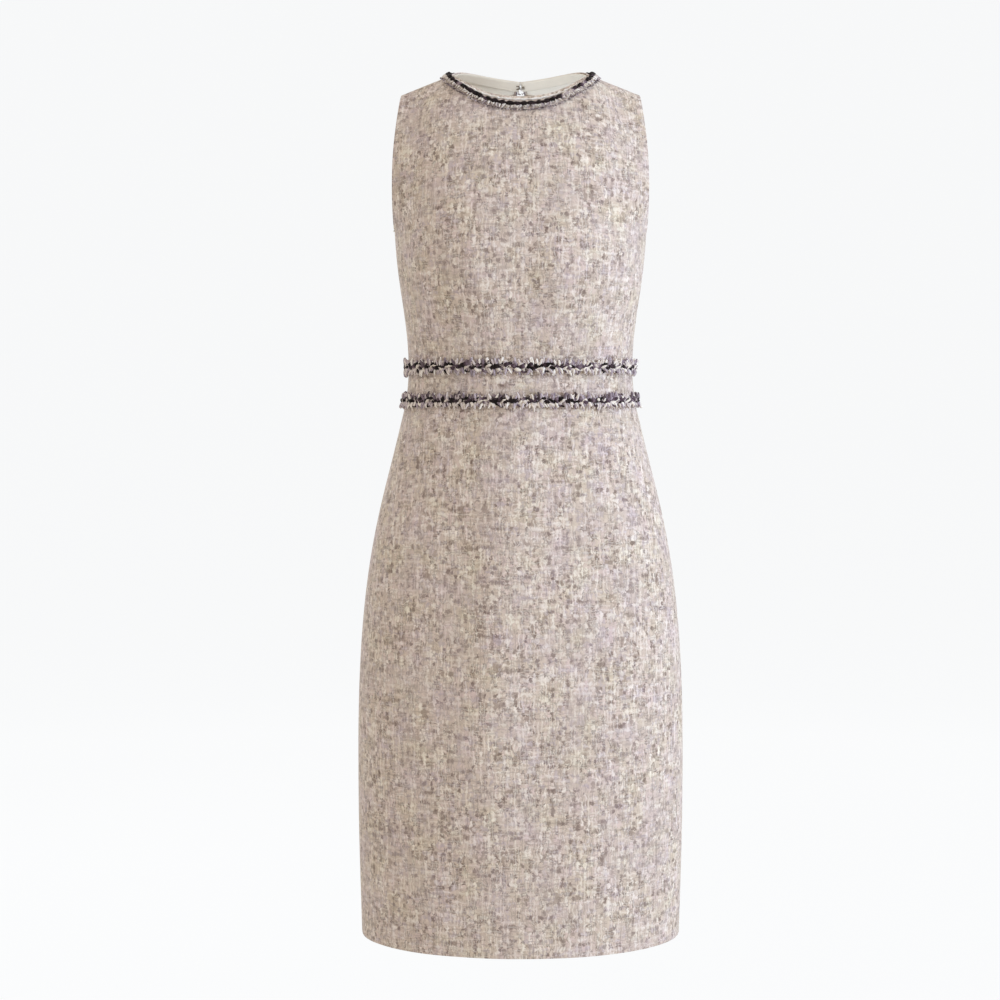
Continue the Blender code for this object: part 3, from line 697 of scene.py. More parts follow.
# %% Smooth panels
PANELS = (
    "bodice_front", "bodice_back_left", "bodice_back_right",
    "waistband_front", "waistband_back_left", "waistband_back_right",
    "skirt_front", "skirt_back_left", "skirt_back_right",
)
BETWEEN_CUTS = 0.531      # metres of cloth between the places where two panels are cut
FINE, COARSE = 3, 2       # how often a cage is subdivided
DROP_FOOT, DROP_TOP, DROP_SPREAD, DROP_REACH = -31 * MM, 0.5 * MM, 3.0 * MM, 10 * MM


def move_map(cloth, distance):
    """Cuts the panel from another place of the cloth, so that the pattern breaks at every seam."""
    layer = cloth.data.uv_layers["cut"]
    layer.uv.foreach_set("vector", (read(layer.uv, "vector", 2) + [distance, 0.0]).ravel())


def open_drop(cloth, side):
    """Spreads one edge of the drop shaped gap at the back neck, which smoothing has drawn in."""
    points = read(cloth.data.vertices, "co", 3)
    height = np.clip((points[:, 2] - DROP_FOOT) / (DROP_TOP - DROP_FOOT), 0.0, 1.0)
    near = np.exp(-(points[:, 0] / DROP_REACH) ** 2)
    points[:, 0] += side * DROP_SPREAD * np.sin(np.pi * height ** 0.8) ** 1.2 * near
    write_points(cloth.data, points)


def smooth_panel(node, name, levels):
    """A panel's outer face as one smooth folded sheet, without thickness."""
    cloth = as_object(name, outer_skin(node))
    size = lay_flat(cloth)
    curve = cloth.modifiers.new("curve", "SUBSURF")
    curve.levels = curve.render_levels = levels
    curve.boundary_smooth = "PRESERVE_CORNERS"
    apply_modifiers(cloth)
    press_folds(cloth, FOLDS.get(node, ()))
    if node in PANELS:
        move_map(cloth, PANELS.index(node) * BETWEEN_CUTS)
    if node.startswith("bodice_back"):
        open_drop(cloth, 1.0 if node.endswith("left") else -1.0)
    return cloth, size


SKINS, CUT = {}, {}
for node in PANELS:
    SKINS[node], CUT[node] = smooth_panel(node, "cloth_" + node, FINE)
    width, length = CUT[node]["flat"]
    print(f"{node}: cut {width * 1000:.0f} x {length * 1000:.0f} mm")

# %% Closed seams
SEAM_REACH = 2.2 * MM
SEAM_SHARE = 0.47         # each edge goes almost half of the way to the other
VENT_TOP = -800 * MM


def rim(cloth):
    """The points of a sheet that lie on its edge."""
    uses = {}
    for face in cloth.data.polygons:
        for key in face.edge_keys:
            uses[key] = uses.get(key, 0) + 1
    numbers = sorted({point for key, count in uses.items() if count == 1 for point in key})
    return [cloth.data.vertices[number] for number in numbers]


def stays_open(node, other, height):
    """Whether two edges are the drop shaped gap at the back neck or the vent, which stay apart."""
    both_back = "back" in node and "back" in other
    return both_back and (height > DROP_FOOT or height < VENT_TOP)


def close_seams(sheets):
    """Pulls the facing edges of neighbouring panels together until they almost touch."""
    points = [(node, point) for node in sheets for point in rim(sheets[node])]
    tree = KDTree(len(points))
    for number, (_, point) in enumerate(points):
        tree.insert(point.co, number)
    tree.balance()
    moves = []
    for node, point in points:
        near = [(gap, co.copy(), points[n][0]) for co, n, gap in tree.find_range(point.co, SEAM_REACH)]
        near = [item for item in near if item[2] != node and not stays_open(node, item[2], point.co.z)]
        if near:
            nearest = min(near, key=lambda item: item[0])[1]
            moves.append((point, point.co.lerp(nearest, SEAM_SHARE)))
    for point, place in moves:
        point.co = place
    return len(moves)


print(close_seams(SKINS), "edge points sewn to their neighbours")

# %% [markdown]
# ## Lining and hem
#
# Inside, a pale lining is sewn to the facing, the armholes and the hem. It is a copy of the smooth sheets,
# moved inwards and welded at the seams into one loose inner dress. At the bottom the tweed itself is turned
# up, which a second strip of tweed inside the hem stands for.


# %% Working on sheets
CLOTH_TURN = 50           # degrees that an edge of cloth turns by, at the least, to be rounded


def inner_sheet(name, nodes, levels, depth, height, above):
    """Panels moved inwards by depth, cut at a height on the skirt, and welded at the seams into one."""
    whole = bmesh.new()
    for node in nodes:
        sheet, _ = smooth_panel(node, name, levels)
        mesh = sheet.data
        normals = read(mesh.vertex_normals, "vector", 3)
        write_points(mesh, read(mesh.vertices, "co", 3) - normals * depth)
        part = as_bmesh(mesh)
        if node.startswith("skirt"):
            bmesh.ops.bisect_plane(
                part, geom=[*part.verts, *part.edges, *part.faces], plane_co=(0, 0, height),
                plane_no=(0, 0, 1), clear_inner=above, clear_outer=not above,
            )
        part.to_mesh(mesh)
        part.free()
        whole.from_mesh(mesh)
        bpy.data.objects.remove(sheet)
        bpy.data.meshes.remove(mesh)
    rims = [point for point in whole.verts if point.is_boundary]
    bmesh.ops.remove_doubles(whole, verts=rims, dist=SEAM_REACH)
    return as_object(name, whole)


def draw_back(sheet, reach, share=lambda away: 1.0):
    """Pulls the free edges of a cloth back from where they lie, along the cloth.

    share says how much an edge moves, from the direction that leads away from it.
    """
    shape = as_bmesh(sheet.data)
    moves = []
    for point in shape.verts:
        ends = rim_ends(point)
        if len(ends) != 2:
            continue
        middles = [face.calc_center_median() for face in point.link_faces]
        along = (ends[0] - ends[1]).normalized()
        away = sum(middles, Vector()) / len(middles) - point.co
        away -= along * away.dot(along)
        away.normalize()
        moves.append((point, away * reach * share(away)))
    for point, move in moves:
        point.co += move
    shape.to_mesh(sheet.data)
    shape.free()


def round_edges(thing, width, degrees):
    """Softens the edges that turn by more than an angle."""
    edge = thing.modifiers.new("edge", "BEVEL")
    edge.width, edge.segments = width, 2
    edge.limit_method, edge.angle_limit = "ANGLE", math.radians(degrees)


def declare(piece, node=None):
    """Hangs a piece on the dress, and hides the node of the frame that it replaces."""
    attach(piece, "dress")
    if node:
        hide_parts(node)
    return piece


def finish_sheet(cloth, thickness, paint, node=None, edge=None):
    """Gives a sheet its thickness inwards, its material and its place in the dress."""
    wall = cloth.modifiers.new("thickness", "SOLIDIFY")
    wall.thickness, wall.offset = thickness, -1.0
    wall.use_even_offset = False
    if edge:
        round_edges(cloth, edge, CLOTH_TURN)
    cloth.data.shade_smooth()
    cloth.data.materials.append(paint)
    return declare(cloth, node)


print("inner sheets are welded over", SEAM_REACH / MM, "mm")

# %% Lining and hem strip
TWEED_THICK, TWEED_EDGE = 1.3 * MM, 0.55 * MM
LINING_THICK, LINING_DEPTH, LINING_BACK = 0.3 * MM, 1.45 * MM, 3 * MM
HEM_THICK, HEM_DEPTH, HEM_TALL = 0.9 * MM, TWEED_THICK + 0.1 * MM, 38 * MM
HEM_OVERLAP = 3 * MM      # the lining starts this far below the top of the hem strip

lining = inner_sheet("lining", PANELS, COARSE, LINING_DEPTH, HEM + HEM_TALL - HEM_OVERLAP, True)
draw_back(lining, LINING_BACK)
finish_sheet(lining, LINING_THICK, LINING)

hem = inner_sheet("hem_strip", PANELS[-3:], FINE, HEM_DEPTH, HEM + HEM_TALL, False)
finish_sheet(hem, HEM_THICK, TWEED)

# %% Finished tweed panels
SKIN_TREES = {}
for node in PANELS:
    shape = as_bmesh(SKINS[node].data)
    SKIN_TREES[node] = BVHTree.FromBMesh(shape)
    shape.free()
    finish_sheet(SKINS[node], TWEED_THICK, TWEED, node, TWEED_EDGE)
whole_cut = sum(size["area"] for size in CUT.values())
print(f"{len(PANELS)} panels, {whole_cut:.3f} square metres of tweed")

# %% [markdown]
# ## Facing and zip tapes
#
# A facing is a narrow strip of plain cloth that follows the neck edge inside and keeps it in shape. The two
# tapes carry a zip that is sewn in behind the centre back seam. They are made as the panels were, without
# folds.

# %% Facing and zip tapes
FACING_THICK, TAPE_THICK = 0.9 * MM, 0.7 * MM
FACING_RISE = 1.7 * MM    # brings the upper edge to just under the fold of the tweed
SLOPE_FROM, SLOPE_OVER = 0.3, 0.4


def upper_edge(away):
    """1 where the cloth lies straight below an edge, and 0 where it lies beside or above it."""
    return min(1.0, max(0.0, -away.z - SLOPE_FROM) / SLOPE_OVER)


for node in ("facing_front", "facing_back_left", "facing_back_right"):
    strip, size = smooth_panel(node, "cloth_" + node, COARSE)
    draw_back(strip, -FACING_RISE, upper_edge)
    finish_sheet(strip, FACING_THICK, FACING, node)

for node in ("zip_tape_left", "zip_tape_right"):
    tape, size = smooth_panel(node, "cloth_" + node, COARSE)
    finish_sheet(tape, TAPE_THICK, TAPE, node)
    print(f"{node}: {size['area'] * 1e4:.1f} square centimetres")

# %% [markdown]
# ## Paths for the trims
#
# The cord at the neck and the braids at the waist lie on the cloth along its edge or its waist seams. Their
# CAD solids are plain strips in the right places. Cutting such a strip by upright planes all round gives the
# middle of each cut, and the nearest point of the cloth gives its seat. A path keeps two directions at every
# point, out of the cloth and down along it, so yarns can be laid without thinking of x, y and z.

# %% Middle lines of the strips
LINE_POINTS = 420
TURN_MARGIN = 0.004       # radians left out at each end of a strip
TURN_MOST = 1.0           # an edge that turns further than this crosses the gap at the centre back
NECK_MIDDLE = -2 * MM


def middle_line(node, centre_y):
    """The middle of a strip round the body, from the centre back past the front to the centre back."""
    mesh = NODES[node].data
    ends = read(mesh.vertices, "co", 3)[read(mesh.edges, "vertices", 2, np.int32)]
    turns = np.arctan2(ends[:, :, 0], centre_y - ends[:, :, 1])
    plain = np.abs(turns[:, 0] - turns[:, 1]) < TURN_MOST
    first, last = ends[plain, 0], ends[plain, 1]
    turn_first, turn_last = turns[plain].T
    line = []
    for turn in np.linspace(turn_first.min() + TURN_MARGIN, turn_first.max() - TURN_MARGIN, LINE_POINTS):
        crossing = (turn_first - turn) * (turn_last - turn) < 0
        share = (turn - turn_first[crossing]) / (turn_last[crossing] - turn_first[crossing])
        line.append((first[crossing] + share[:, None] * (last[crossing] - first[crossing])).mean(0))
    return np.array(line)


LINES = {
    "neck": middle_line("neck_cord", NECK_MIDDLE),
    "upper": middle_line("waist_braid_upper", 0.0),
    "lower": middle_line("waist_braid_lower", 0.0),
}
for name, line in LINES.items():
    reach = np.linalg.norm(np.diff(line, axis=0), axis=1).sum()
    print(f"{name} line: {reach * 1000:.0f} mm round")

# %% Paths on the cloth
PATHS = []
PALE_FADE = 5             # millimetres over which a pale stretch begins and ends
EASE_PLACE, EASE_OUT = 2, 5          # points on either side that a path is smoothed over


def eased(values, reach):
    """A running mean along a path, with its ends kept."""
    padded = np.concatenate([np.repeat(values[:1], reach, 0), values, np.repeat(values[-1:], reach, 0)])
    kernel = np.ones(2 * reach + 1) / (2 * reach + 1)
    return np.stack([np.convolve(column, kernel, "valid") for column in padded.T], axis=1)


def unit(directions):
    return directions / np.linalg.norm(directions, axis=1)[:, None]


def soft_step(values, low, high):
    """0 below low and 1 above high, with a soft step between them."""
    share = np.clip((values - low) / (high - low), 0.0, 1.0)
    return share * share * (3.0 - 2.0 * share)


def seat(point):
    """The nearest point of the tweed and the direction out of it."""
    found = [tree.find_nearest(Vector(point)) for tree in SKIN_TREES.values()]
    place, normal, _, _ = min(found, key=lambda hit: hit[3])
    return place, normal


def even_steps(places, outs, step):
    """The same path with points an even step apart, and how far along it each one lies."""
    run = np.concatenate([[0.0], np.cumsum(np.linalg.norm(np.diff(places, axis=0), axis=1))])
    marks = np.linspace(0.0, run[-1], int(run[-1] / step) + 1)
    both = np.hstack([places, np.broadcast_to(outs, places.shape)])
    both = np.stack([np.interp(marks, run, column) for column in both.T], axis=1)
    return both[:, :3], both[:, 3:], marks


def give(path, name, values):
    """Stores a number or a direction for every point of a path."""
    kind, key = ("FLOAT_VECTOR", "vector") if values.ndim > 1 else ("FLOAT", "value")
    layer = path.data.attributes.new(name, kind, "POINT")
    layer.data.foreach_set(key, np.ascontiguousarray(values, dtype=np.float32).ravel())


def add_path(name, points, outs, downs, runs):
    """A path as a bare mesh that carries its directions and its length so far."""
    path = link_mesh(name, points, (), [(i, i + 1) for i in range(len(points) - 1)])
    give(path, "out", np.broadcast_to(outs, points.shape))
    give(path, "down", np.broadcast_to(downs, points.shape))
    give(path, "run", runs)
    PATHS.append(path)
    return path


def cloth_path(name, line, step, below=None, pale=()):
    """A path seated on the cloth along a middle line, and its length.

    below gives how far down the cloth each place is moved, and pale the stretches of the front, from one x
    to another, where the yarns are lighter and by how much.
    """
    seats = [seat(point) for point in line]
    places = eased(np.array([tuple(place) for place, _ in seats]), EASE_PLACE)
    outs = eased(np.array([tuple(normal) for _, normal in seats]), EASE_OUT)
    places, outs, runs = even_steps(places, outs, step)
    outs = unit(outs)
    downs = unit(np.cross(unit(np.gradient(places, axis=0)), outs))
    if below:
        places = places + downs * below(places)[:, None]
    path = add_path(name, places, outs, downs, runs)
    across, light = places[:, 0] / MM, np.zeros(len(places))
    for first, last, amount in pale:
        begun = soft_step(across, first - PALE_FADE, first)
        light += amount * begun * soft_step(-across, -last, PALE_FADE - last) * (places[:, 1] < 0)
    give(path, "pale", light)
    return path, runs[-1]


print(len(SKIN_TREES), "panels can seat a path")

# %% [markdown]
# ## Yarns from Geometry Nodes
#
# Geometry Nodes lay the yarns along a path from a few named sizes. The first tree makes one long strand that
# swings from side to side and in and out, so that three of them with different phases make a plait and two a
# twist. The second plants a bent tapering yarn at every point of a path. Each yarn carries an attribute
# called tint, by which its material picks a colour.


# %% A tree with named inputs
def start_tree(name, labels):
    """A geometry tree with named inputs: its graph, the node of its inputs, and the inputs' values."""
    tree = bpy.data.node_groups.new(name, "GeometryNodeTree")
    sockets = [("Path", "Geometry"), *[(label, "Float") for label in labels], ("Yarn", "Material")]
    for label, kind in sockets:
        tree.interface.new_socket(label, in_out="INPUT", socket_type="NodeSocket" + kind)
    tree.interface.new_socket("Yarns", in_out="OUTPUT", socket_type="NodeSocketGeometry")
    graph = Graph(tree)
    given = graph.add("NodeGroupInput")
    return graph, given, [given.output(label) for label in labels]


def carried(graph, name, kind="FLOAT"):
    """An attribute that the path carries."""
    return graph.add("GeometryNodeInputNamedAttribute", {"data_type": kind}, {"Name": name})


def directions(graph):
    """The length of the path so far, and the directions out of the cloth and down along it."""
    kinds = {"run": "FLOAT", "out": "FLOAT_VECTOR", "down": "FLOAT_VECTOR"}
    return [carried(graph, name, kind) for name, kind in kinds.items()]


def drift(graph, place, seed, detail=2.0, lane=0.0):
    """A slow change along the path."""
    return graph.noise(graph.point(place, seed, lane), 1.0, detail)


def tube(graph, line, sides, radius):
    """A closed tube round a curve."""
    ring = graph.add("GeometryNodeCurvePrimitiveCircle", None, {"Resolution": sides, "Radius": 1.0})
    feeds = {"Curve": line, "Profile Curve": ring, "Scale": radius, "Fill Caps": True}
    return graph.add("GeometryNodeCurveToMesh", None, feeds)


def keep(graph, geometry, name, value, domain="POINT"):
    """Stores a number on the geometry for the material to read."""
    settings = {"data_type": "FLOAT", "domain": domain}
    feeds = {"Geometry": geometry, "Name": name, "Value": value}
    return graph.add("GeometryNodeStoreNamedAttribute", settings, feeds)


def end_tree(graph, geometry, given):
    whole = graph.add("GeometryNodeRealizeInstances", None, {"Geometry": geometry})
    smooth = graph.add("GeometryNodeSetShadeSmooth", None, {0: whole})
    feeds = {"Geometry": smooth, "Material": given.output("Yarn")}
    coloured = graph.add("GeometryNodeSetMaterial", None, feeds)
    graph.feed(graph.tree.nodes.new("NodeGroupOutput").inputs[0], coloured)
    return graph.tree


# %% Long strands
SLACK_WAVES, LUMP_WAVES, SHADE_WAVES = 62.0, 170.0, 110.0      # to a metre


def make_strand_tree():
    """One strand along the path: swinging by Wide and Deep once in each Period."""
    names = "Period Phase Loose Wide Deep Stand Below Thickness Lumpy Tint Spread Seed"
    graph, given, sizes = start_tree("strand", names.split())
    period, phase, loose, wide, deep, stand, below, thickness, lumpy, tint, spread, seed = sizes
    run, out, down = directions(graph)
    slack = drift(graph, run * SLACK_WAVES, seed)
    turn = run / period * (2 * math.pi) + phase + (slack - 0.5) * loose
    sideways = turn.sine() * wide * (slack + 0.5) + below
    outwards = (turn * 2.0).sine() * deep + stand
    shift = graph.steps((down, sideways), (out, outwards))
    moved = graph.add("GeometryNodeSetPosition", None, {"Geometry": given, "Offset": shift})
    line = graph.add("GeometryNodeMeshToCurve", None, {"Mesh": moved})
    lumps = drift(graph, run * LUMP_WAVES, seed + 7.0)
    radius = thickness * ((lumps - 0.5) * lumpy + 1.0).largest(0.2)
    shades = drift(graph, run * SHADE_WAVES, seed + 19.0)
    line = keep(graph, line, "tint", tint + (shades - 0.5) * spread + carried(graph, "pale"))
    return end_tree(graph, tube(graph, line, 6, radius), given)


STRAND = make_strand_tree()
print("the strand tree has", len(STRAND.nodes), "nodes")


# %% Short yarns
TUFT_WAVES, CLUMP_WAVES = 240.0, 160.0


def make_tuft_tree():
    """A bent, tapering yarn at every point of the path."""
    names = "Length Thickness Side Lean Lift Stand Below Ragged Tint Spread Seed"
    graph, given, sizes = start_tree("tuft", names.split())
    length, thickness, side, lean, lift, stand, below, ragged, tint, spread, seed = sizes
    bend = {"Resolution": 4, "Start": (0, 0, 0), "Middle": (0.34, 0, 0.45), "End": (0.05, 0, 1.0)}
    yarn = graph.add("GeometryNodeCurveQuadraticBezier", None, bend)
    share = graph.add("GeometryNodeSplineParameter")
    yarn = tube(graph, yarn, 4, thickness / length * (1.0 - share * share * 0.6))
    run, out, down = directions(graph)
    along = graph.vector("CROSS_PRODUCT", out, down)
    chance = [graph.random(seed + number) for number in range(6)]
    tufts = drift(graph, run * TUFT_WAVES, seed, 1.0, 5.0)
    sideways = lean * (chance[0] * 0.7 + (tufts - 0.5) * 3.0)
    aim = graph.steps((down, side), (along, sideways), (out, lift * (chance[1] + 1.0)))
    shift = graph.steps((down, below + chance[2] * ragged), (out, stand + chance[3] * ragged * 0.4))
    points = graph.add("GeometryNodeMeshToPoints", None, {"Mesh": given})
    points = graph.add("GeometryNodeSetPosition", None, {"Geometry": points, "Offset": shift})
    axes = {"primary_axis": "Z", "secondary_axis": "X"}
    turn = graph.add("FunctionNodeAxesToRotation", axes, {"Primary Axis": aim, "Secondary Axis": out})
    size = length * (chance[4] * 0.25 + 0.85)
    size = graph.point(size, size, size)
    feeds = {"Points": points, "Instance": yarn, "Rotation": turn, "Scale": size}
    planted = graph.add("GeometryNodeInstanceOnPoints", None, feeds)
    clumps = drift(graph, run * CLUMP_WAVES, seed + 3.0, 1.0)
    tint = tint + (clumps - 0.5 + chance[5] * 0.22) * spread
    return end_tree(graph, keep(graph, planted, "tint", tint, "INSTANCE"), given)


TUFT = make_tuft_tree()
print("the tuft tree has", len(TUFT.nodes), "nodes")

# %% [markdown]
# ## Yarn colours
#
# The braid is plied from near black yarns with a navy or plum cast, and from pale ones. The fringe runs
# from white and cream to lilac and grey. A ramp turns the tint of a yarn into a colour, and a fine noise
# along the fibres keeps it from looking moulded.


# %% Yarn materials
def make_yarn(name, fuzz, gloss, stops):
    """A spun yarn whose colour comes from the tint that it carries."""
    paint, graph = add_material(name)
    tint = graph.add("ShaderNodeAttribute", {"attribute_name": "tint"}, out="Fac")
    place = graph.add("ShaderNodeTexCoord", out="Object")
    fibre = graph.noise(place, 1600.0, 3.0)
    colour = graph.ramp(tint + (fibre - 0.5) * 0.16, [(at, display(*shade)) for at, shade in stops])
    return finished(paint, {
        "Base Color": graph.shaded(colour, (fibre - 0.5) * 0.9 + 1.0), "Roughness": 0.75 + fibre * 0.2,
        "Normal": graph.bump(fibre, 0.6, 0.25 * MM), "Sheen Weight": fuzz, "Specular IOR Level": gloss,
    })


DARK_YARN = make_yarn("dark_plied_yarn", 0.08, 0.1, (
    (0.0, (18, 11, 9)), (0.22, (40, 28, 30)), (0.42, (86, 68, 80)), (0.6, (140, 124, 134)),
    (0.8, (206, 194, 188)), (1.0, (236, 227, 218)),
))
PALE_YARN = make_yarn("pale_fringe_yarn", 0.25, 0.2, (
    (0.0, (76, 62, 66)), (0.18, (124, 108, 120)), (0.38, (176, 162, 174)), (0.58, (208, 196, 196)),
    (0.78, (232, 221, 212)), (1.0, (248, 243, 240)),
))
print("two yarns:", DARK_YARN.name, PALE_YARN.name)

# %% [markdown]
# ## Waist trims
#
# Each waist seam is covered by a braid with a fringe above and below it. The fringe comes first: cream and
# white yarns hang below, and lilac and grey ones stand above. Over their roots runs the braid, in which
# three dark strands cross a pale one and a lilac one. Where these come out on top they break the dark line
# into slanting strokes.

# %% Laying yarns
IN_MILLIMETRES = ("Length", "Thickness", "Period", "Wide", "Deep", "Stand", "Below", "Ragged")


def lay_yarns(path, tree, yarn, **sizes):
    """Runs a tree on a copy of a path and gives the plain mesh that it makes."""
    source = linked("yarns", path.data)
    layer = source.modifiers.new("yarns", "NODES")
    layer.node_group = tree
    for item in tree.interface.items_tree:
        if item.name in sizes:
            scale = MM if item.name in IN_MILLIMETRES else 1.0
            layer[item.identifier] = float(sizes[item.name] * scale)
        elif item.name == "Yarn":
            layer[item.identifier] = yarn
    apply_modifiers(source)
    return source


def join_pieces(name, pieces, node=None):
    """Joins yarns into one piece."""
    select_only(pieces)
    if len(pieces) > 1:
        bpy.ops.object.join()
    pieces[0].name = pieces[0].data.name = name
    return declare(pieces[0], node)


print("sizes in millimetres:", ", ".join(IN_MILLIMETRES))

# %% Waist trims
FRINGE_STEP, BRAID_STEP = 1.5 * MM, 1.2 * MM
BRAID_STRANDS = (
    # tint, spread, thickness, lumpy, wide, below, stand: three dark strands, a pale and a lilac one
    (0.10, 2.90, 1.85, 4.2, 1.8, -0.9, 3.2),
    (0.20, 3.10, 1.40, 4.2, 2.6, -0.1, 3.2),
    (0.20, 2.60, 1.00, 3.6, 3.4, 3.0, 3.2),
    (0.88, 1.50, 1.55, 4.2, 3.0, 1.6, 3.0),
    (0.62, 1.60, 1.25, 3.2, 3.0, -2.4, 2.5),
)
WAIST_TRIMS = (
    # level, how far below its seam the braid lies (less than 0, so above it), tint of the fringe above and
    # below, seed, and the pale stretches: from x, to x, how much lighter
    ("upper", -2.6, 0.54, 0.58, 3.0, ((50, 88, 0.3), (98, 125, 0.22), (-19, 9, 0.22), (-66, -57, 0.3))),
    ("lower", -1.9, 0.34, 0.60, 61.0, ((-41, -27, 0.25), (-5, 9, 0.22), (62, 80, 0.22), (88, 125, 0.24))),
)


def make_fringe(level, low, tint_above, tint_under, seed):
    """The short yarns above and below a waist seam."""
    path, reach = cloth_path("fringe_path", LINES[level], FRINGE_STEP)
    root = {"Lift": 0.34, "Stand": 1.3, "Ragged": 1.0}
    above = lay_yarns(path, TUFT, PALE_YARN, Length=8.4, Thickness=2.0, Side=-1, Lean=0.9, Below=low - 0.6,
                      Tint=tint_above, Spread=2.0, Seed=seed, **root)
    under = lay_yarns(path, TUFT, PALE_YARN, Length=8.5, Thickness=1.8, Side=1, Lean=1.1, Below=-0.6,
                      Tint=tint_under, Spread=1.4, Seed=seed + 20, **root)
    return join_pieces("fringe_" + level, [above, under], "waist_fringe_" + level), reach


def make_braid(level, low, seed, pale):
    """The plaited strands over a waist seam."""
    path, _ = cloth_path("braid_path", LINES[level], BRAID_STEP, pale=pale)
    strands = []
    for number, (tint, spread, thickness, lumpy, wide, below, stand) in enumerate(BRAID_STRANDS):
        strands.append(lay_yarns(
            path, STRAND, DARK_YARN, Period=21, Phase=number * 2.1, Loose=9, Wide=wide, Deep=1.1,
            Stand=stand, Below=below + low, Thickness=thickness, Lumpy=lumpy, Tint=tint, Spread=spread,
            Seed=seed + 40 + number,
        ))
    return join_pieces("braid_" + level, strands, "waist_braid_" + level)


for level, low, tint_above, tint_under, seed, pale in WAIST_TRIMS:
    fringe, reach = make_fringe(level, low, tint_above, tint_under, seed)
    braid = make_braid(level, low, seed, pale)
    count = len(fringe.data.polygons) + len(braid.data.polygons)
    print(f"{level} waist trim: {reach * 1000:.0f} mm, {count} faces")

# %% [markdown]
# ## Neck trims
#
# The neck edge has a dark cord of two twisted strands. A thin line of cream yarn shows above it. A short
# pale fringe below it ends in small grey brown tips. A thin thread of the same grey brown binds the two
# edges of the drop shaped gap at the back.

# %% Neck trims
NECK_STEP = 1.0 * MM
NECK_PALE = ((46, 58, 0.6), (67, 72, 0.5), (-64, -61, 0.6), (17, 19, 0.3))


def neck_drop(places):
    """The cord lies on the very edge at the shoulders and a little lower at the front."""
    forward = -places[:, 1] / MM
    front = soft_step(forward, 10, 52) * 3.4 + soft_step(forward, 47, 64) * 2.6
    return (front + soft_step(-forward, -8, 22) * 2.6 - np.exp(-(forward / 17) ** 2) * 3.4) * MM


def neck_edge(places):
    """The cream thread lies on the fold of the edge at the front, and just below it at the back."""
    return (soft_step(places[:, 1] / MM, -40, 10) * 3.0 - 1.4) * MM


def make_neck_trim():
    path, reach = cloth_path("neck_path", LINES["neck"], NECK_STEP, neck_drop, NECK_PALE)
    edge_path, _ = cloth_path("edge_path", LINES["neck"], NECK_STEP, neck_edge)
    cords = [lay_yarns(
        path, STRAND, DARK_YARN, Period=15, Phase=number * math.pi, Loose=5, Wide=1.2, Deep=0.6, Stand=2.2,
        Thickness=1.65, Lumpy=3.2, Tint=tint, Spread=1.1, Seed=90 + number,
    ) for number, tint in enumerate((0.08, 0.2))]
    join_pieces("cord_neck", cords, "neck_cord")
    row = lay_yarns(path, TUFT, PALE_YARN, Length=5.2, Thickness=0.9, Side=1, Lean=1.3, Lift=0.1,
                    Stand=1.5, Below=1.4, Ragged=0.9, Tint=0.82, Spread=1.7, Seed=140)
    tips = lay_yarns(path, TUFT, PALE_YARN, Length=2.6, Thickness=0.62, Side=1, Lean=2.8, Lift=0.1,
                     Stand=1.2, Below=7.0, Ragged=0.6, Tint=0.14, Spread=2.2, Seed=160)
    edge = lay_yarns(edge_path, STRAND, PALE_YARN, Period=9, Loose=4, Wide=0.3, Deep=0.2, Stand=0.5,
                     Thickness=1.15, Lumpy=2.2, Tint=1.02, Spread=1.4, Seed=170)
    return join_pieces("fringe_neck", [row, tips, edge], "neck_fringe"), reach


neck_fringe, reach = make_neck_trim()
print(f"neck trim: {reach * 1000:.0f} mm, {len(neck_fringe.data.polygons)} faces in its fringe")

# %% Binding of the gap at the back neck
DROP_WIDE, BINDING_STEP = 11 * MM, 0.8 * MM


def bind_edge(node, side):
    """A thin grey brown thread bound round one edge of the drop shaped gap."""
    edge = sorted(tuple(point.co.zxy) for point in rim(SKINS[node]) if abs(point.co.x) < DROP_WIDE)
    edge = np.array([place for place in edge if DROP_FOOT < place[0] < DROP_TOP])
    line, outs, runs = even_steps(edge[:, [1, 2, 0]], (0.0, 1.0, 0.0), BINDING_STEP)
    path = add_path("drop_path", line, outs, (side, 0.0, 0.0), runs)
    return lay_yarns(path, STRAND, DARK_YARN, Period=3, Loose=1, Wide=0.12, Deep=0.1, Stand=-0.9,
                     Thickness=0.9, Lumpy=0.9, Tint=0.52, Spread=0.5, Seed=180 + side)


bindings = [bind_edge("bodice_back_left", 1.0), bind_edge("bodice_back_right", -1.0)]
binding = join_pieces("drop_binding", bindings)
print("drop binding:", len(binding.data.polygons), "faces")

# %% [markdown]
# ## Fastenings
#
# The zip's slider and pull, and the hook and eye above it, keep the shapes of the frame. Their edges get a
# small round, as pressed metal has. The zip is polished nickel, and the hook and eye are browned wire. The
# zip's teeth are one long nylon coil, which the strand tree makes on a path down the back.


# %% Metals
METAL_EDGE, METAL_TURN = 0.12 * MM, 35


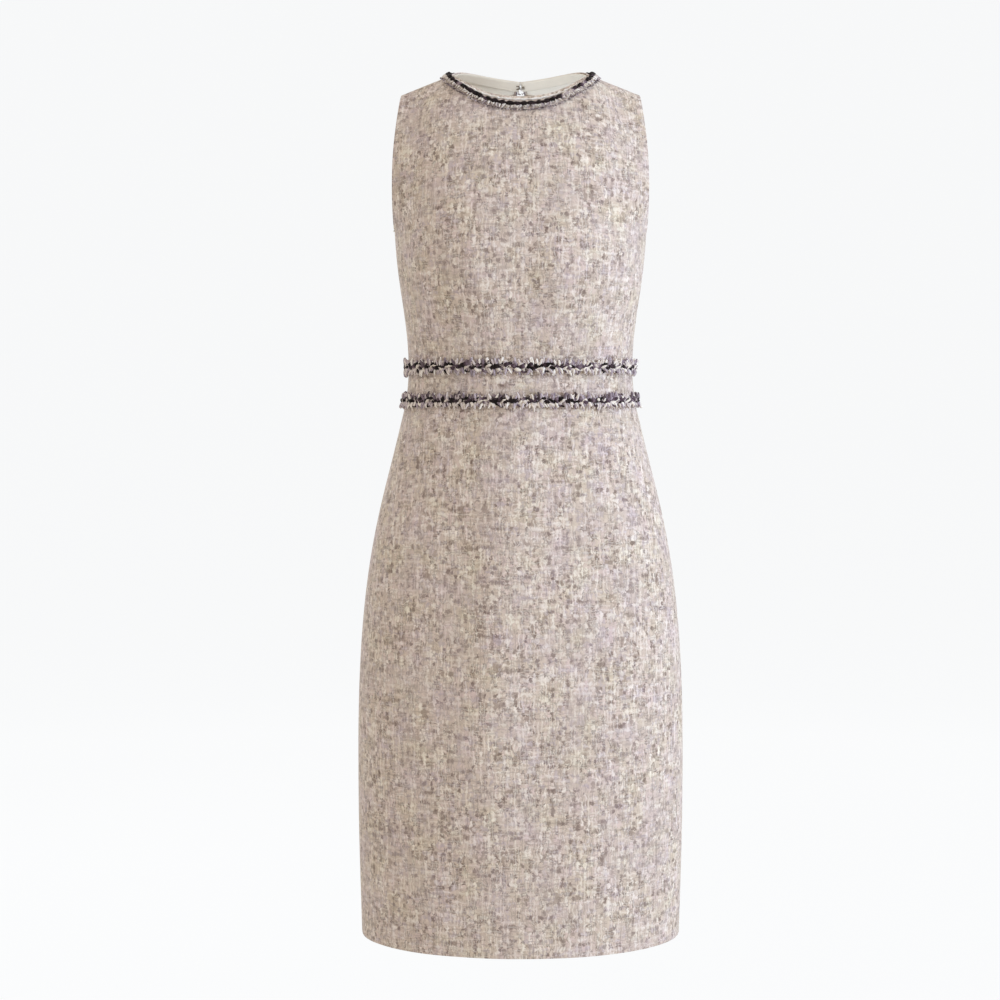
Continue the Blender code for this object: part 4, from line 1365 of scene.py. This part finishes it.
def make_metal(name, bright, dull, roughness):
    paint, graph = add_material(name)
    place = graph.add("ShaderNodeTexCoord", out="Object")
    worn = graph.noise(place, 220.0, 3.0)
    grain = graph.noise(place, 4200.0)
    return finished(paint, {
        "Base Color": graph.mix(worn.smooth(0.42, 0.62), display(*dull), display(*bright)),
        "Metallic": 0.7 + worn * 0.3, "Roughness": roughness + grain * 0.2,
        "Normal": graph.bump(grain, 0.2, 0.1 * MM),
    })


METALS = (
    (make_metal("zip_metal", (236, 231, 224), (205, 197, 188), 0.16), ("zip_slider", "zip_pull")),
    (make_metal("browned_wire", (128, 112, 92), (92, 79, 64), 0.5), ("hook", "eye")),
)
for metal, nodes in METALS:
    for part in [NODES[node] for node in nodes]:
        part.modifiers.new("weld", "WELD").merge_threshold = WELD
        round_edges(part, METAL_EDGE, METAL_TURN)
        part.data.materials.clear()
        part.data.materials.append(metal)
    print(metal.name, "on", *nodes)

# %% Zip coil
COIL_TOP, COIL_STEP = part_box("zip_slider")[0].z, 0.3 * MM
COIL_END, COIL_DEPTH = 3 * MM, 1.0 * MM      # above the foot of the tape, and inwards from it
TAPE_INNER, COIL_EASE = 2 * MM, 20


def make_coil():
    """The teeth: a coil on the inner side of the two tapes, from the slider down."""
    inner = tape_points[tape_points[:, 0] < TAPE_INNER]
    heights = np.arange(COIL_TOP, inner[:, 2].min() + COIL_END, -COIL_STEP)
    order = np.argsort(inner[:, 2])
    depth = np.interp(heights, inner[order, 2], inner[order, 1])
    depth = eased(depth[:, None], COIL_EASE)[:, 0] - COIL_DEPTH
    places = np.stack([np.zeros_like(heights), depth, heights], axis=1)
    path = add_path("coil_path", places, (0.0, -1.0, 0.0), (1.0, 0.0, 0.0), -heights)
    coil = lay_yarns(path, STRAND, PALE_YARN, Period=1.8, Wide=1.4, Deep=0.45, Thickness=0.28, Tint=0.62,
                     Spread=0.1, Seed=200)
    return join_pieces("zip_coil", [coil])


print("coil:", len(make_coil().data.polygons), "faces")

# %% Finish
for path in PATHS:
    bpy.data.objects.remove(path)
